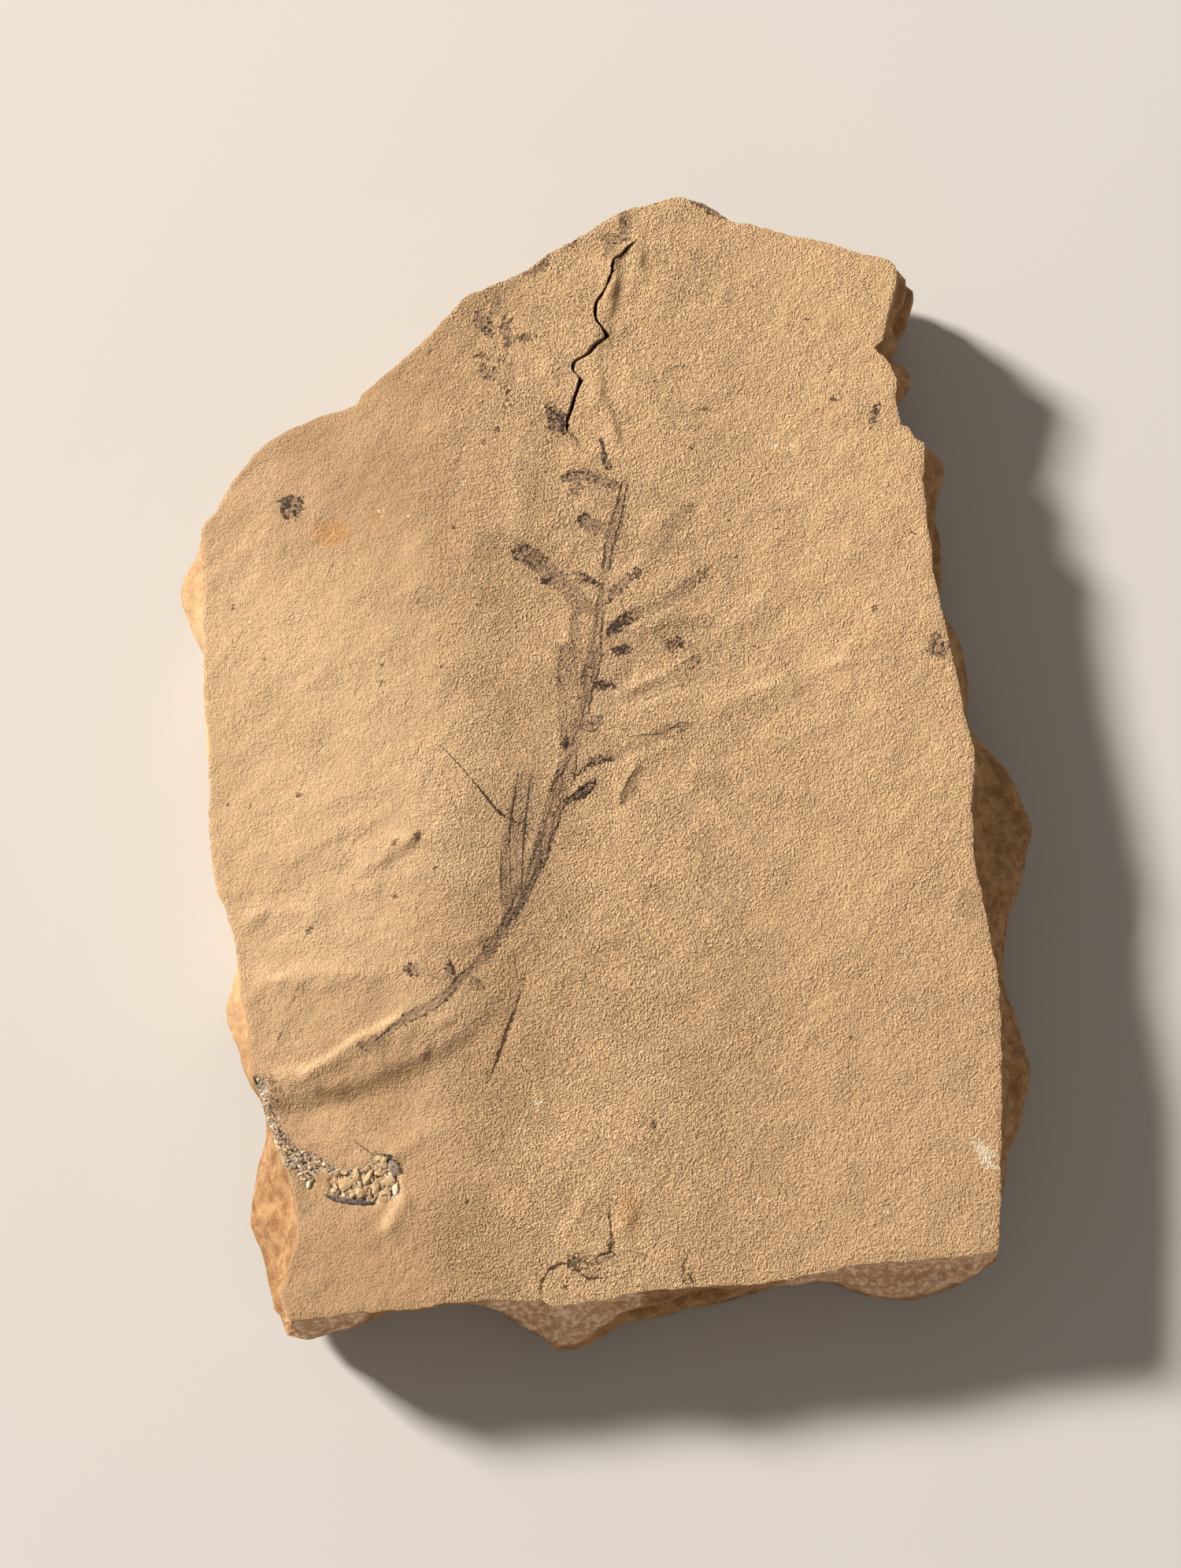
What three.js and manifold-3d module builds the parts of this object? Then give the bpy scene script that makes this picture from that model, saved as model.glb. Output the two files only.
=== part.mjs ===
// Fossil dawn redwood plate: a broken slab of fine tan shale with a flattened twig on its upper face.
// Millimetres. +X runs right across the face, +Y up the face towards the twig's tip, and +Z out of it.
// The slab lies on its back: z = 0 is the plane it rests on. Plan coordinates are turned into the
// part's own at the end, when the finished slab is centred over the origin.
import * as THREE from "three";
import { mergeVertices } from "three/addons/utils/BufferGeometryUtils.js";
import Module from "manifold-3d";

// ---- Driving dimensions -------------------------------------------------------------------------

const THICKNESS = 12; // resting plane to the face's rim
const COLUMNS = 34; // grid cells across the face
const ROWS = 42; // grid cells up the face
const LAYER_DEPTHS = [0, 1.5, 3.3, 3.8, 5.6, 7.4, 7.9, 10, THICKNESS]; // levels of the broken walls

// The face's rim as four edges in plan, each from left to right or from bottom to top.
const TOP_EDGE = [
  [-31.5, 21.3], [-29.1, 25.3], [-25.6, 29.1], [-22.9, 30.5], [-19.2, 31.8], [-16.3, 34.8], [-13.8, 37.2],
  [-9.9, 41.3], [-5.1, 43.4], [0.5, 47.0], [4.0, 48.7], [6.9, 49.4], [9.3, 48.9], [11.6, 47.3],
  [16.6, 46.0], [21.0, 44.8], [25.2, 43.0],
];
const BOTTOM_EDGE = [
  [-23.1, -42.3], [-19.4, -41.8], [-13.5, -41.4], [-7.9, -40.8], [-3.8, -40.7], [-2.9, -41.3], [1.4, -40.7],
  [3.9, -40.1], [8.5, -39.8], [13.2, -39.6], [17.8, -38.7], [20.6, -38.1], [24.8, -37.8], [31.3, -37.0],
];
const LEFT_EDGE = [
  [-23.1, -42.3], [-24.1, -40.4], [-22.9, -36.2], [-22.8, -34.6], [-23.2, -32.3], [-24.9, -27.9],
  [-26.4, -23.3], [-27.0, -18.1], [-28.0, -12.4], [-29.5, -8.6], [-30.4, -2.1], [-30.4, 2.5],
  [-31.0, 8.3], [-31.1, 13.0], [-31.5, 21.3],
];
const RIGHT_EDGE = [
  [31.3, -37.0], [31.6, -34.1], [32.0, -22.5], [31.9, -15.5], [31.0, -10.5], [30.4, -7.5], [30.1, -1.8],
  [30.5, 1.9], [29.6, 6.2], [28.8, 10.4], [28.2, 13.7], [27.6, 16.5], [27.1, 21.0], [26.8, 24.7],
  [27.0, 28.0], [25.7, 29.4], [24.9, 31.0], [24.9, 33.4], [23.1, 36.2], [24.5, 40.0], [25.2, 43.0],
];

// Bulges (out > 0) and hollows (out < 0) of the walls: centre on the rim, reach along it, depth below
// the face and half height of the band it fills.
const WALL_FORMS = [
  { at: [-31.2, 16.4], reach: 6.2, depth: 4.2, half: 4.2, out: 2.3 }, // rounded bulge on the left
  { at: [-30.2, 0], reach: 13, depth: 9, half: 7, out: -0.9 },
  { at: [-26.8, -19], reach: 8, depth: 7, half: 6, out: 0.9 },
  { at: [-23.4, -32.5], reach: 9, depth: 7.6, half: 7.2, out: 4.4 }, // shelf behind the bitten corner
  { at: [-21.6, -42.1], reach: 2.6, depth: 3, half: 2.8, out: 0.9 },
  { at: [-13, -41.3], reach: 6.5, depth: 5.4, half: 5, out: -0.9 }, // undercut
  { at: [-3.2, -41.2], reach: 6.2, depth: 7.2, half: 6.6, out: 2.6 }, // nose on the bottom wall
  { at: [9.8, -39.7], reach: 4, depth: 6, half: 5.6, out: -0.5 },
  { at: [23.5, -38], reach: 9.5, depth: 7.4, half: 6.8, out: 1.8 },
  { at: [31.9, -24], reach: 15, depth: 6, half: 5.6, out: 1.7 },
  { at: [30.4, -5.2], reach: 13, depth: 5.4, half: 5.2, out: 4.8 }, // broad ledge on the right
  { at: [28.8, 10.4], reach: 6, depth: 5.6, half: 5.4, out: 2.1 },
  { at: [26.9, 26.4], reach: 4.2, depth: 4.4, half: 4.2, out: 1.5 },
  { at: [24.2, 35.4], reach: 4.6, depth: 4.6, half: 4.4, out: 2.2 }, // stone left behind the notch
  { at: [20, 45], reach: 7, depth: 7, half: 6.5, out: 1.1 },
  { at: [7, 49.3], reach: 7, depth: 8, half: 7, out: -1.4 },
  { at: [-11, 40], reach: 8, depth: 6.6, half: 6, out: 1.2 },
  { at: [-26.5, 28], reach: 8, depth: 8, half: 7, out: -1.1 },
];
// Beds that stand proud or set back: the depth where one begins, the height of its ledge, its swing and
// the plan wave that says where along the rim it stands out.
const BEDS = [
  { depth: 3.55, ledge: 0.5, swing: 0.75, wave: [0.23, 0.31], phase: 1.0 },
  { depth: 7.65, ledge: 0.5, swing: 0.85, wave: [0.17, -0.27], phase: 2.2 },
];
const BREAKS = { pitch: 4.6, swing: 0.3 }; // upright breaks down the walls
const BACK_BEVEL = { height: 2.1, inset: 1.3 }; // the back's broken rim
const BACK_RIM_LIFT = 1.1; // height of that rim over the resting plane
const BACK_FLAT_FROM = 0.16; // share of the way in from the rim at which the back is flat
const BACK_FLAKE = { at: [19, -27], reach: 15, lift: 0.9 }; // a scale lost from the back's corner

// The face: a broad low dome, a soft fold beside the crack and a rolling step at the lower left.
const DOME = { at: [-2, 2], reach: [40, 56], height: 0.7 };
const FOLD = { line: [[0, 46], [-3.2, 36.7], [-5.4, 31.3], [-6.1, 23.3], [-6.3, 15]], width: 6, drop: 0.55 };
const STEP = {
  line: [[-27, -23.6], [-20.3, -22.2], [-16.7, -21], [-11.7, -18.5], [-8.7, -15.4], [-5.6, -10.8]],
  width: 3.6,
  drop: 0.9,
};

// The open crack: its middle line with half the gap at each point, and the finer one below the twig.
const CRACK = [
  [3.8, 45.7, 0.1], [3.3, 45.1, 0.2], [2.0, 43.9, 0.24], [1.7, 42.7, 0.2], [0.5, 40.1, 0.2],
  [0.3, 39.3, 0.22], [0.6, 38.6, 0.26], [1.5, 37.4, 0.34], [0.5, 36.6, 0.34], [-1.2, 35.2, 0.24],
  [-1.5, 34.6, 0.2], [-0.8, 33.7, 0.2], [-1.3, 32.1, 0.22], [-1.9, 30.2, 0.2], [-1.9, 29.1, 0.1],
];
const FINE_CRACK = [
  [-4.8, -15.8, 0.08], [-5.6, -18.0, 0.12], [-6.5, -20.9, 0.14], [-7.5, -23.7, 0.14], [-8.4, -25.1, 0.08],
];
const CUTTER_RISE = 3; // how far a cutter stands above the face
const CRACK_DEPTH = 1.3;
const FINE_CRACK_DEPTH = 0.6;

// The crescent of shell rubble at the lower left: a shallow pit along an arc, filled with shards.
const PIT = { arc: [[-24.2, -26.2], [-22.9, -29.9], [-19.4, -31.6], [-15.7, -31.1]], half: 1.35, depth: 0.8 };
const SHARDS = { count: 13, size: 0.62, sink: 0.2 };

const STONE = new THREE.MeshStandardMaterial({ color: 0xcea474, roughness: 0.93, metalness: 0 });

// ---- Small helpers ------------------------------------------------------------------------------

const clamp01 = (value) => THREE.MathUtils.clamp(value, 0, 1);
const smooth = (value) => THREE.MathUtils.smoothstep(value, 0, 1);
const bell = (value) => 0.5 + 0.5 * Math.cos(Math.PI * Math.min(Math.abs(value), 1));
const fraction = (value) => value - Math.floor(value);
const vector = ([x, y]) => new THREE.Vector2(x, y);

const cellLength = (points, i) => points[i].distanceTo(points[i + 1]);

// A polyline brought to `cells` cells by halving its longest one, so that every given corner stays.
function withCells(corners, cells) {
  const points = corners.map(vector);
  while (points.length < cells + 1) {
    let longest = 0;
    for (let i = 1; i + 1 < points.length; i++)
      if (cellLength(points, i) > cellLength(points, longest)) longest = i;
    points.splice(longest + 1, 0, points[longest].clone().lerp(points[longest + 1], 0.5));
  }
  return points;
}

// Signed distance from a plan point to an open polyline (positive on its right), and the share of the
// polyline's length at which the nearest point lies.
function besideLine(line, x, y) {
  const point = new THREE.Vector2(x, y);
  let best = { distance: Infinity, signed: 0, along: 0 };
  line.slice(1).forEach((end, i) => {
    const start = vector(line[i]);
    const run = vector(end).sub(start);
    const from = point.clone().sub(start);
    const share = clamp01(from.dot(run) / run.lengthSq());
    const distance = from.distanceTo(run.clone().multiplyScalar(share));
    const signed = -Math.sign(run.cross(from)) * distance;
    if (distance < best.distance) best = { distance, signed, along: (i + share) / (line.length - 1) };
  });
  return best;
}

// ---- Heights and offsets ------------------------------------------------------------------------

// A soft downward step to the right of a line, fading in and out at the line's ends.
function stepAcross({ line, width, drop }, x, y) {
  const { distance, signed, along } = besideLine(line, x, y);
  const fade = smooth(along * 5 + 0.35) * smooth((1 - along) * 5);
  const away = bell(distance / (width * 4.5));
  const lowered = signed > 0 ? 1 - bell(signed / width) : 0;
  return -drop * fade * lowered * away;
}

// Height of the face over its rim plane.
function faceRelief(x, y) {
  const dx = (x - DOME.at[0]) / DOME.reach[0];
  const dy = (y - DOME.at[1]) / DOME.reach[1];
  const dome = DOME.height * (1 - dx * dx - dy * dy);
  return dome + stepAcross(FOLD, x, y) + stepAcross(STEP, x, y);
}

// How far the wall stands out of the rim below a rim point.
function wallOffset(x, y, depth) {
  let offset = 0;
  for (const { at, reach, depth: middle, half, out } of WALL_FORMS)
    offset += out * bell(Math.hypot(x - at[0], y - at[1]) / reach) * bell((depth - middle) / half);
  for (const { depth: top, ledge, swing, wave, phase } of BEDS)
    offset += swing * Math.sin(wave[0] * x + wave[1] * y + phase) * smooth((depth - top) / ledge + 0.5);
  const zigzag = 2 * Math.abs(2 * fraction((x * 0.7 + y) / BREAKS.pitch) - 1) - 1;
  offset += BREAKS.swing * zigzag * smooth(depth / 2);
  const bevel = smooth((depth - (THICKNESS - BACK_BEVEL.height)) / BACK_BEVEL.height);
  return offset - BACK_BEVEL.inset * bevel;
}

// Height of the back over the resting plane, `inward` being the share of the way in from the rim.
function backRelief(x, y, inward) {
  const rim = BACK_RIM_LIFT * (1 + 0.4 * Math.sin(x * 0.21 + 1) * Math.cos(y * 0.17));
  const fromFlake = Math.hypot(x - BACK_FLAKE.at[0], y - BACK_FLAKE.at[1]) / BACK_FLAKE.reach;
  const flake = BACK_FLAKE.lift * smooth(1.6 * bell(fromFlake));
  return Math.max(rim * (1 - smooth(inward / BACK_FLAT_FROM)), flake);
}

// ---- The slab -----------------------------------------------------------------------------------

// The rim as one loop of points with an outward direction each, looked up by grid column and row.
function makeRim() {
  const top = withCells(TOP_EDGE, COLUMNS);
  const bottom = withCells(BOTTOM_EDGE, COLUMNS);
  const left = withCells(LEFT_EDGE, ROWS);
  const right = withCells(RIGHT_EDGE, ROWS);
  const there = [...bottom.slice(0, -1), ...right.slice(0, -1)];
  const loop = [...there, ...top.slice(1).reverse(), ...left.slice(1).reverse()];
  const outward = loop.map((_, i) => {
    const ahead = loop[(i + 3) % loop.length];
    const behind = loop[(i + loop.length - 3) % loop.length];
    const along = ahead.clone().sub(behind).normalize();
    return new THREE.Vector2(along.y, -along.x);
  });
  const indexOf = (column, row) => {
    if (row === 0) return column;
    if (column === COLUMNS) return COLUMNS + row;
    if (row === ROWS) return COLUMNS + ROWS + (COLUMNS - column);
    return 2 * COLUMNS + ROWS + (ROWS - row);
  };
  return (column, row, depth) => {
    const i = indexOf(column, row) % loop.length;
    const { x, y } = loop[i];
    return new THREE.Vector2(x, y).addScaledVector(outward[i], wallOffset(x, y, depth));
  };
}

// A plan point inside the rim at a depth: the four edges blended across the grid (a Coons patch).
function insideRim(rim, column, row, depth) {
  const u = column / COLUMNS;
  const v = row / ROWS;
  const blend = (a, b, t) => a.clone().lerp(b, t);
  const upDown = blend(rim(column, 0, depth), rim(column, ROWS, depth), v);
  const leftRight = blend(rim(0, row, depth), rim(COLUMNS, row, depth), u);
  const low = blend(rim(0, 0, depth), rim(COLUMNS, 0, depth), u);
  const high = blend(rim(0, ROWS, depth), rim(COLUMNS, ROWS, depth), u);
  return upDown.add(leftRight).sub(blend(low, high, v));
}

// A unit box's surface grid bent into the slab: its top becomes the face, its sides the broken walls.
function makeSlab() {
  const layers = LAYER_DEPTHS.length - 1;
  const box = new THREE.BoxGeometry(1, 1, 1, COLUMNS, ROWS, layers);
  box.deleteAttribute("normal");
  box.deleteAttribute("uv");
  const slab = mergeVertices(box, 1e-5);
  const rim = makeRim();
  const position = slab.attributes.position;
  for (let i = 0; i < position.count; i++) {
    const column = Math.round((position.getX(i) + 0.5) * COLUMNS);
    const row = Math.round((position.getY(i) + 0.5) * ROWS);
    const layer = Math.round((0.5 - position.getZ(i)) * layers);
    const onRim = column === 0 || column === COLUMNS || row === 0 || row === ROWS;
    const depth = LAYER_DEPTHS[layer];
    const { x, y } = onRim ? rim(column, row, depth) : insideRim(rim, column, row, depth);
    const inward = Math.min(column / COLUMNS, 1 - column / COLUMNS, row / ROWS, 1 - row / ROWS);
    const face = THICKNESS + faceRelief(x, y);
    const back = backRelief(x, y, inward);
    position.setXYZ(i, x, y, THREE.MathUtils.lerp(face, back, depth / THICKNESS));
  }
  return slab;
}

// ---- Cracks, pit and shards ---------------------------------------------------------------------

// A prism standing through the face over the ribbon along a line, reaching `depth` below the face there.
function makeCutter(line, depth) {
  const outline = new THREE.Shape(ribbon(line));
  const prism = new THREE.ExtrudeGeometry(outline, { depth: depth + CUTTER_RISE, bevelEnabled: false });
  return prism.translate(0, 0, floorUnder(line, depth));
}

// The level `depth` below the face at the middle point of a line.
function floorUnder(line, depth) {
  const [x, y] = line[Math.floor(line.length / 2)];
  return THICKNESS + faceRelief(x, y) - depth;
}

// The outline of a ribbon along a line of [x, y, half width] points.
function ribbon(line) {
  const sides = line.map(([x, y, half], i) => {
    const ahead = vector(line[Math.min(i + 1, line.length - 1)]);
    const along = ahead.sub(vector(line[Math.max(i - 1, 0)])).normalize();
    const across = new THREE.Vector2(along.y, -along.x).multiplyScalar(half);
    return [new THREE.Vector2(x, y).add(across), new THREE.Vector2(x, y).sub(across)];
  });
  return [...sides.map(([right]) => right), ...sides.map(([, left]) => left).reverse()];
}

const pitCurve = new THREE.SplineCurve(PIT.arc.map(vector));
const pitHalfAt = (i) => PIT.half * (0.55 + 0.45 * bell((i - 5) / 5));
const pitLine = pitCurve.getPoints(8).map(({ x, y }, i) => [x, y, pitHalfAt(i)]);

// One angular shard of the rubble, the nth along the pit.
function makeShard(n) {
  const { x, y } = pitCurve.getPoint((n + 0.6) / SHARDS.count);
  const aside = 0.5 * Math.sin(n * 2.4);
  const shard = new THREE.DodecahedronGeometry(SHARDS.size * (0.8 + 0.35 * Math.sin(n * 1.7)));
  shard.scale(1, 0.75, 0.8).rotateX(n * 1.1).rotateZ(n * 2.1);
  return shard.translate(x - aside * 0.4, y + aside, floorUnder(pitLine, PIT.depth) + SHARDS.sink);
}

// ---- Joining and cutting ------------------------------------------------------------------------

const wasm = await Module();
wasm.setup();

function toSolid(geometry) {
  geometry.deleteAttribute("normal");
  geometry.deleteAttribute("uv");
  const merged = mergeVertices(geometry, 1e-4);
  return new wasm.Manifold(
    new wasm.Mesh({
      numProp: 3,
      vertProperties: new Float32Array(merged.attributes.position.array),
      triVerts: new Uint32Array(merged.index.array),
    }),
  );
}

function toGeometry(solid) {
  const { vertProperties, triVerts } = solid.getMesh();
  const geometry = new THREE.BufferGeometry();
  geometry.setAttribute("position", new THREE.BufferAttribute(vertProperties, 3));
  geometry.setIndex(new THREE.BufferAttribute(triVerts, 1));
  return geometry;
}

function makePlate() {
  let plate = toSolid(makeSlab());
  plate = plate.subtract(toSolid(makeCutter(CRACK, CRACK_DEPTH)));
  plate = plate.subtract(toSolid(makeCutter(FINE_CRACK, FINE_CRACK_DEPTH)));
  plate = plate.subtract(toSolid(makeCutter(pitLine, PIT.depth)));
  for (let n = 0; n < SHARDS.count; n++) plate = plate.add(toSolid(makeShard(n)));
  return toGeometry(plate);
}

// The finished slab stands centred over the origin with its back on z = 0.
function centred(geometry) {
  geometry.computeBoundingBox();
  const { min, max } = geometry.boundingBox;
  return geometry.translate(-(min.x + max.x) / 2, -(min.y + max.y) / 2, -min.z);
}

const group = new THREE.Group();
const plate = new THREE.Mesh(centred(makePlate()), STONE);
plate.name = "plate";
group.add(plate);

export default group;
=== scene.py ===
"""Fossil dawn redwood plate: the finished surface of a broken shale slab lying on its back.

The slab is one closed surface worked out on a grid: a face with its cracks, ripples and flattened twig,
broken walls with two ledges, and a nearly flat back. Chips of crushed shell lie bedded in a shallow pit at
its left edge. Plan sizes are in millimetres, +X right across the face and +Y up it; `PLAN_CENTRE` is the
plan point that stands over the origin.
"""

from __future__ import annotations

import logging
import math
from collections.abc import Sequence
from dataclasses import dataclass, field
from enum import Enum

import bpy
import numpy as np
from bpy.types import Material, Mesh, Node, NodeSocket as Socket, Object
from mathutils import Matrix, Vector

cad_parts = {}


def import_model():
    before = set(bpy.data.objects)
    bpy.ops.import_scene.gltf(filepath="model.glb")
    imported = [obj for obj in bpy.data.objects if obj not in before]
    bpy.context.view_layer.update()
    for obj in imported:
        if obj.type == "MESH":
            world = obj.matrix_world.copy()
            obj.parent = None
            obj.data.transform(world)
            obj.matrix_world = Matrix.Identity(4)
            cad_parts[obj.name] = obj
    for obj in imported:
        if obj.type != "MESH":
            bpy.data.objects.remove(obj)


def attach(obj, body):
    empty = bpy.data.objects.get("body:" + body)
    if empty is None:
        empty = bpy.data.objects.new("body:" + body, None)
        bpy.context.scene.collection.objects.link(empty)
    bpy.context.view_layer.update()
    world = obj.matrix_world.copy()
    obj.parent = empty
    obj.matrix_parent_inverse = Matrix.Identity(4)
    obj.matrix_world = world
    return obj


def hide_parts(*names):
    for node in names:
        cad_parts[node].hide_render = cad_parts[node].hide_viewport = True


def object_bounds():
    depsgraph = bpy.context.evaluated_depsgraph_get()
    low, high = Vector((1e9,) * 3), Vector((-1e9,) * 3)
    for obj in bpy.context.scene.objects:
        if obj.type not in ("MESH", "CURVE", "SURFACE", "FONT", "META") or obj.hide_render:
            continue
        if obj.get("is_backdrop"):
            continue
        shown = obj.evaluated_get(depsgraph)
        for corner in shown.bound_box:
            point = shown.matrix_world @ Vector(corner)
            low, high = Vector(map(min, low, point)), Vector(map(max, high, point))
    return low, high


MM = 0.001
PLAN_CENTRE = (0.744, 2.749)
NODE = "plate"
SLOT = "shale"
BODY = "root"
FAR = 9.0  # a distance in mm that reads as "nowhere near"

STIR = (374761393, 668265263, 2147483647, 974634777)  # large odd factors for x, y, z and a seed
SHUFFLE = 1274126177
BITS = 0xFFFFFFFF  # keeps the lowest 32 bits

LOG = logging.getLogger("plate")
Array = np.ndarray
Point = tuple[float, float]
Triple = tuple[float, float, float]
Line = tuple[tuple[float, ...], ...]


def table(kind: type, *rows: tuple) -> tuple:
    """One object of a kind for each row of its values."""
    return tuple(kind(*row) for row in rows)


# ---- Shapes of curves ----


def bell(value: Array) -> Array:
    """A smooth hump: half a cosine wave, 1 at 0 and 0 from 1 outwards."""
    return 0.5 + 0.5 * np.cos(np.pi * np.minimum(np.abs(value), 1.0))


def smooth(value: Array) -> Array:
    """A smooth step from 0 at 0 to 1 at 1 (three t squared less two t cubed)."""
    share = np.clip(value, 0.0, 1.0)
    return share * share * (3.0 - 2.0 * share)


def begun(value: Array, step: Point) -> Array:
    """A smooth step from 0 to 1 that begins at step[0] and takes the length step[1]."""
    return smooth((value - step[0]) / step[1])


def lattice(ix: Array, iy: Array, iz: Array, seed: int) -> Array:
    """A fixed pseudo-random number from -1 to 1 for each whole-number point: its bits stirred and folded."""
    mixed = (ix * STIR[0] + iy * STIR[1] + iz * STIR[2] + seed * STIR[3]) & BITS
    mixed = ((mixed ^ (mixed >> 13)) * SHUFFLE) & BITS
    return ((mixed ^ (mixed >> 16)) & 0xFFFFFF) / float(0x7FFFFF) - 1.0


def noise(x: Array, y: Array | float = 0.0, z: Array | float = 0.0, seed: int = 0) -> Array:
    """Smooth noise from about -1 to 1: lattice numbers blended by a smooth step along each axis."""
    x, y, z = np.broadcast_arrays(x, y, z)
    cells = [np.floor(part).astype(np.int64) for part in (x, y, z)]
    shares = [smooth(part - cell) for part, cell in zip((x, y, z), cells)]
    total = np.zeros(x.shape)
    for corner in range(8):
        steps = [(corner >> axis) & 1 for axis in range(3)]
        weight = np.ones(x.shape)
        for step, share in zip(steps, shares):
            weight = weight * (share if step else 1.0 - share)
        total += weight * lattice(*(cell + step for cell, step in zip(cells, steps)), seed)
    return total


def through(points: Line, per_cell: int) -> Array:
    """A smooth curve through the points (a Catmull-Rom spline), as an array of finer points.

    Args:
        points: Points of two or more numbers each, in order.
        per_cell: Curve points from one given point to the next.

    Returns:
        The curve's points, one row each.
    """
    knots = np.asarray(points, float)
    padded = np.vstack([2 * knots[0] - knots[1], knots, 2 * knots[-1] - knots[-2]])
    share = (np.arange(per_cell) / per_cell)[None, :, None]
    a, b, c, d = (padded[i : len(padded) - 3 + i][:, None, :] for i in range(4))
    curve = b + 0.5 * share * (c - a + share * (2 * a - 5 * b + 4 * c - d + share * (3 * (b - c) + d - a)))
    return np.vstack([curve.reshape(-1, knots.shape[1]), knots[-1]])


def turned(x: Array, y: Array, angle: float) -> tuple[Array, Array]:
    """Places along and across a direction that lies `angle` radians anticlockwise of +X."""
    cosine, sine = math.cos(angle), math.sin(angle)
    return x * cosine + y * sine, y * cosine - x * sine


def along_edge(corners: Line | Array, shares: Array) -> Array:
    """Points of a polyline at the given shares of its length."""
    points = np.asarray(corners, float)
    lengths = np.hypot(*np.diff(points, axis=0).T)
    at = np.concatenate([[0.0], np.cumsum(lengths)]) / lengths.sum()
    return np.stack([np.interp(shares, at, points[:, axis]) for axis in range(2)], axis=-1)


def graded(cells: int, start: float, end: float, pitch: float, changes: tuple[Triple, ...]) -> Array:
    """Parts a length into cells whose pitch changes by smooth steps along it.

    Args:
        cells: How many cells there are.
        start: The place at share 0.
        end: The place at share 1.
        pitch: The cells' relative size before any change.
        changes: The place, the length and the amount of each change.

    Returns:
        The shares at which the cells begin and end, from 0 to 1.
    """
    share = np.linspace(0, 1, 2000)
    at = np.interp(share, [0, 1], [start, end])
    cell = np.full(at.shape, pitch)
    for place, over, amount in changes:
        cell += amount * smooth((at - place) / over)
    count = np.concatenate([[0], np.cumsum(1 / cell[:-1])])
    return np.interp(np.linspace(0, count[-1], cells + 1), count, share)


@dataclass(frozen=True)
class Beside:
    """Where plan points lie against a line: distances in mm, positive across to the line's right."""

    distance: Array
    across: Array
    along: Array
    share: Array


def beside(line: Line | Array, x: Array, y: Array) -> Beside:
    """Finds the nearest point of an open polyline for each plan point.

    Args:
        line: The polyline, one point a row.
        x, y: Plan places of the points asked about.

    Returns:
        The distance, the signed distance across, the length along the line and its share by segments.
    """
    line = np.asarray(line, float)[:, :2]
    best = np.full(x.shape, np.inf)
    across, along, share = np.zeros(x.shape), np.zeros(x.shape), np.zeros(x.shape)
    travelled = 0.0
    for i, (start, end) in enumerate(zip(line[:-1], line[1:])):
        run = end - start
        length = float(np.hypot(*run))
        fx, fy = x - start[0], y - start[1]
        at = np.clip((fx * run[0] + fy * run[1]) / length**2, 0.0, 1.0)
        distance = np.hypot(fx - at * run[0], fy - at * run[1])
        near = distance < best
        best = np.where(near, distance, best)
        across = np.where(near, -np.sign(run[0] * fy - run[1] * fx) * distance, across)
        along = np.where(near, travelled + at * length, along)
        share = np.where(near, (i + at) / (len(line) - 1), share)
        travelled += length
    return Beside(best, across, along, share)


def inside_polygon(corners: Line, x: Array, y: Array) -> Array:
    """Signed distance to a closed outline, negative inside: nearest edge, signed by crossings counted."""
    loop = np.asarray([*corners, corners[0]], float)
    distance = beside(loop, x, y).distance
    crossings = np.zeros(x.shape, int)
    for (ax, ay), (bx, by) in zip(loop[:-1], loop[1:]):
        spans = (ay > y) != (by > y)
        meets = x < ax + (y - ay) * (bx - ax) / ((by - ay) or 1e-9)
        crossings += spans & meets
    return np.where(crossings % 2 == 1, -distance, distance)


# ---- Thin lines and spots ----


class Layer(Enum):
    """The sets of thin lines: each shows only the line nearest to a point, so lines that cross are in two."""

    INK = "ink"
    HAIR = "hair"


@dataclass(frozen=True)
class Stroke:
    """A thin dark line: a hair, a torn edge or a hairline crack, `half` being half its width in mm."""

    line: Line
    half: float
    dark: float = 1.0
    layer: Layer = Layer.INK


def nearest_stroke(strokes: Sequence[Stroke], x: Array, y: Array) -> tuple[Array, Array]:
    """Measures plan points against the nearest of several strokes, which narrow towards their ends.

    Args:
        strokes: The strokes.
        x, y: Plan places in mm.

    Returns:
        The signed distance across the nearest stroke in half widths, and its strength, which fades past it.
    """
    across, dark, best = np.full(x.shape, FAR), np.zeros(x.shape), np.full(x.shape, np.inf)
    for stroke in strokes:
        side = beside(through(stroke.line, 4), x, y)
        near = side.distance < best
        taper = 0.35 + 0.65 * bell(2 * side.share - 1)
        across = np.where(near, side.across / (stroke.half * taper), across)
        dark = np.where(near, stroke.dark * smooth((0.7 - side.distance) / 0.3), dark)
        best = np.where(near, side.distance, best)
    return across, dark


def nearest_spot(spots: Sequence[Triple], x: Array, y: Array) -> Array:
    """Measures plan points against the nearest of several spots: ovals, each turned its own way.

    Args:
        spots: Middle and radius of each, moved to the nearest point.
        x, y: Plan places in mm.

    Returns:
        The signed distance to the nearest spot's edge, in mm.
    """
    best = np.full(x.shape, FAR)
    for number, (sx, sy, radius) in enumerate(spots):
        at = np.argmin(np.hypot(x - sx, y - sy))
        dx, dy = x - x.flat[at], y - y.flat[at]
        long, short = turned(dx, dy, number * 2.4)
        best = np.minimum(best, np.hypot(long / 1.25, short * 1.15) - radius * 0.8)
    return best


# ---- The slab's stone ----


@dataclass(frozen=True)
class WallForm:
    """A bulge (out > 0) or hollow (out < 0) of the broken walls, in mm: a half cosine wave along and down.

    `at` and `reach` are its middle and half length in plan, `depth` and `half` the same down the wall.
    """

    at: Point
    reach: float
    depth: float
    half: float
    out: float


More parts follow.
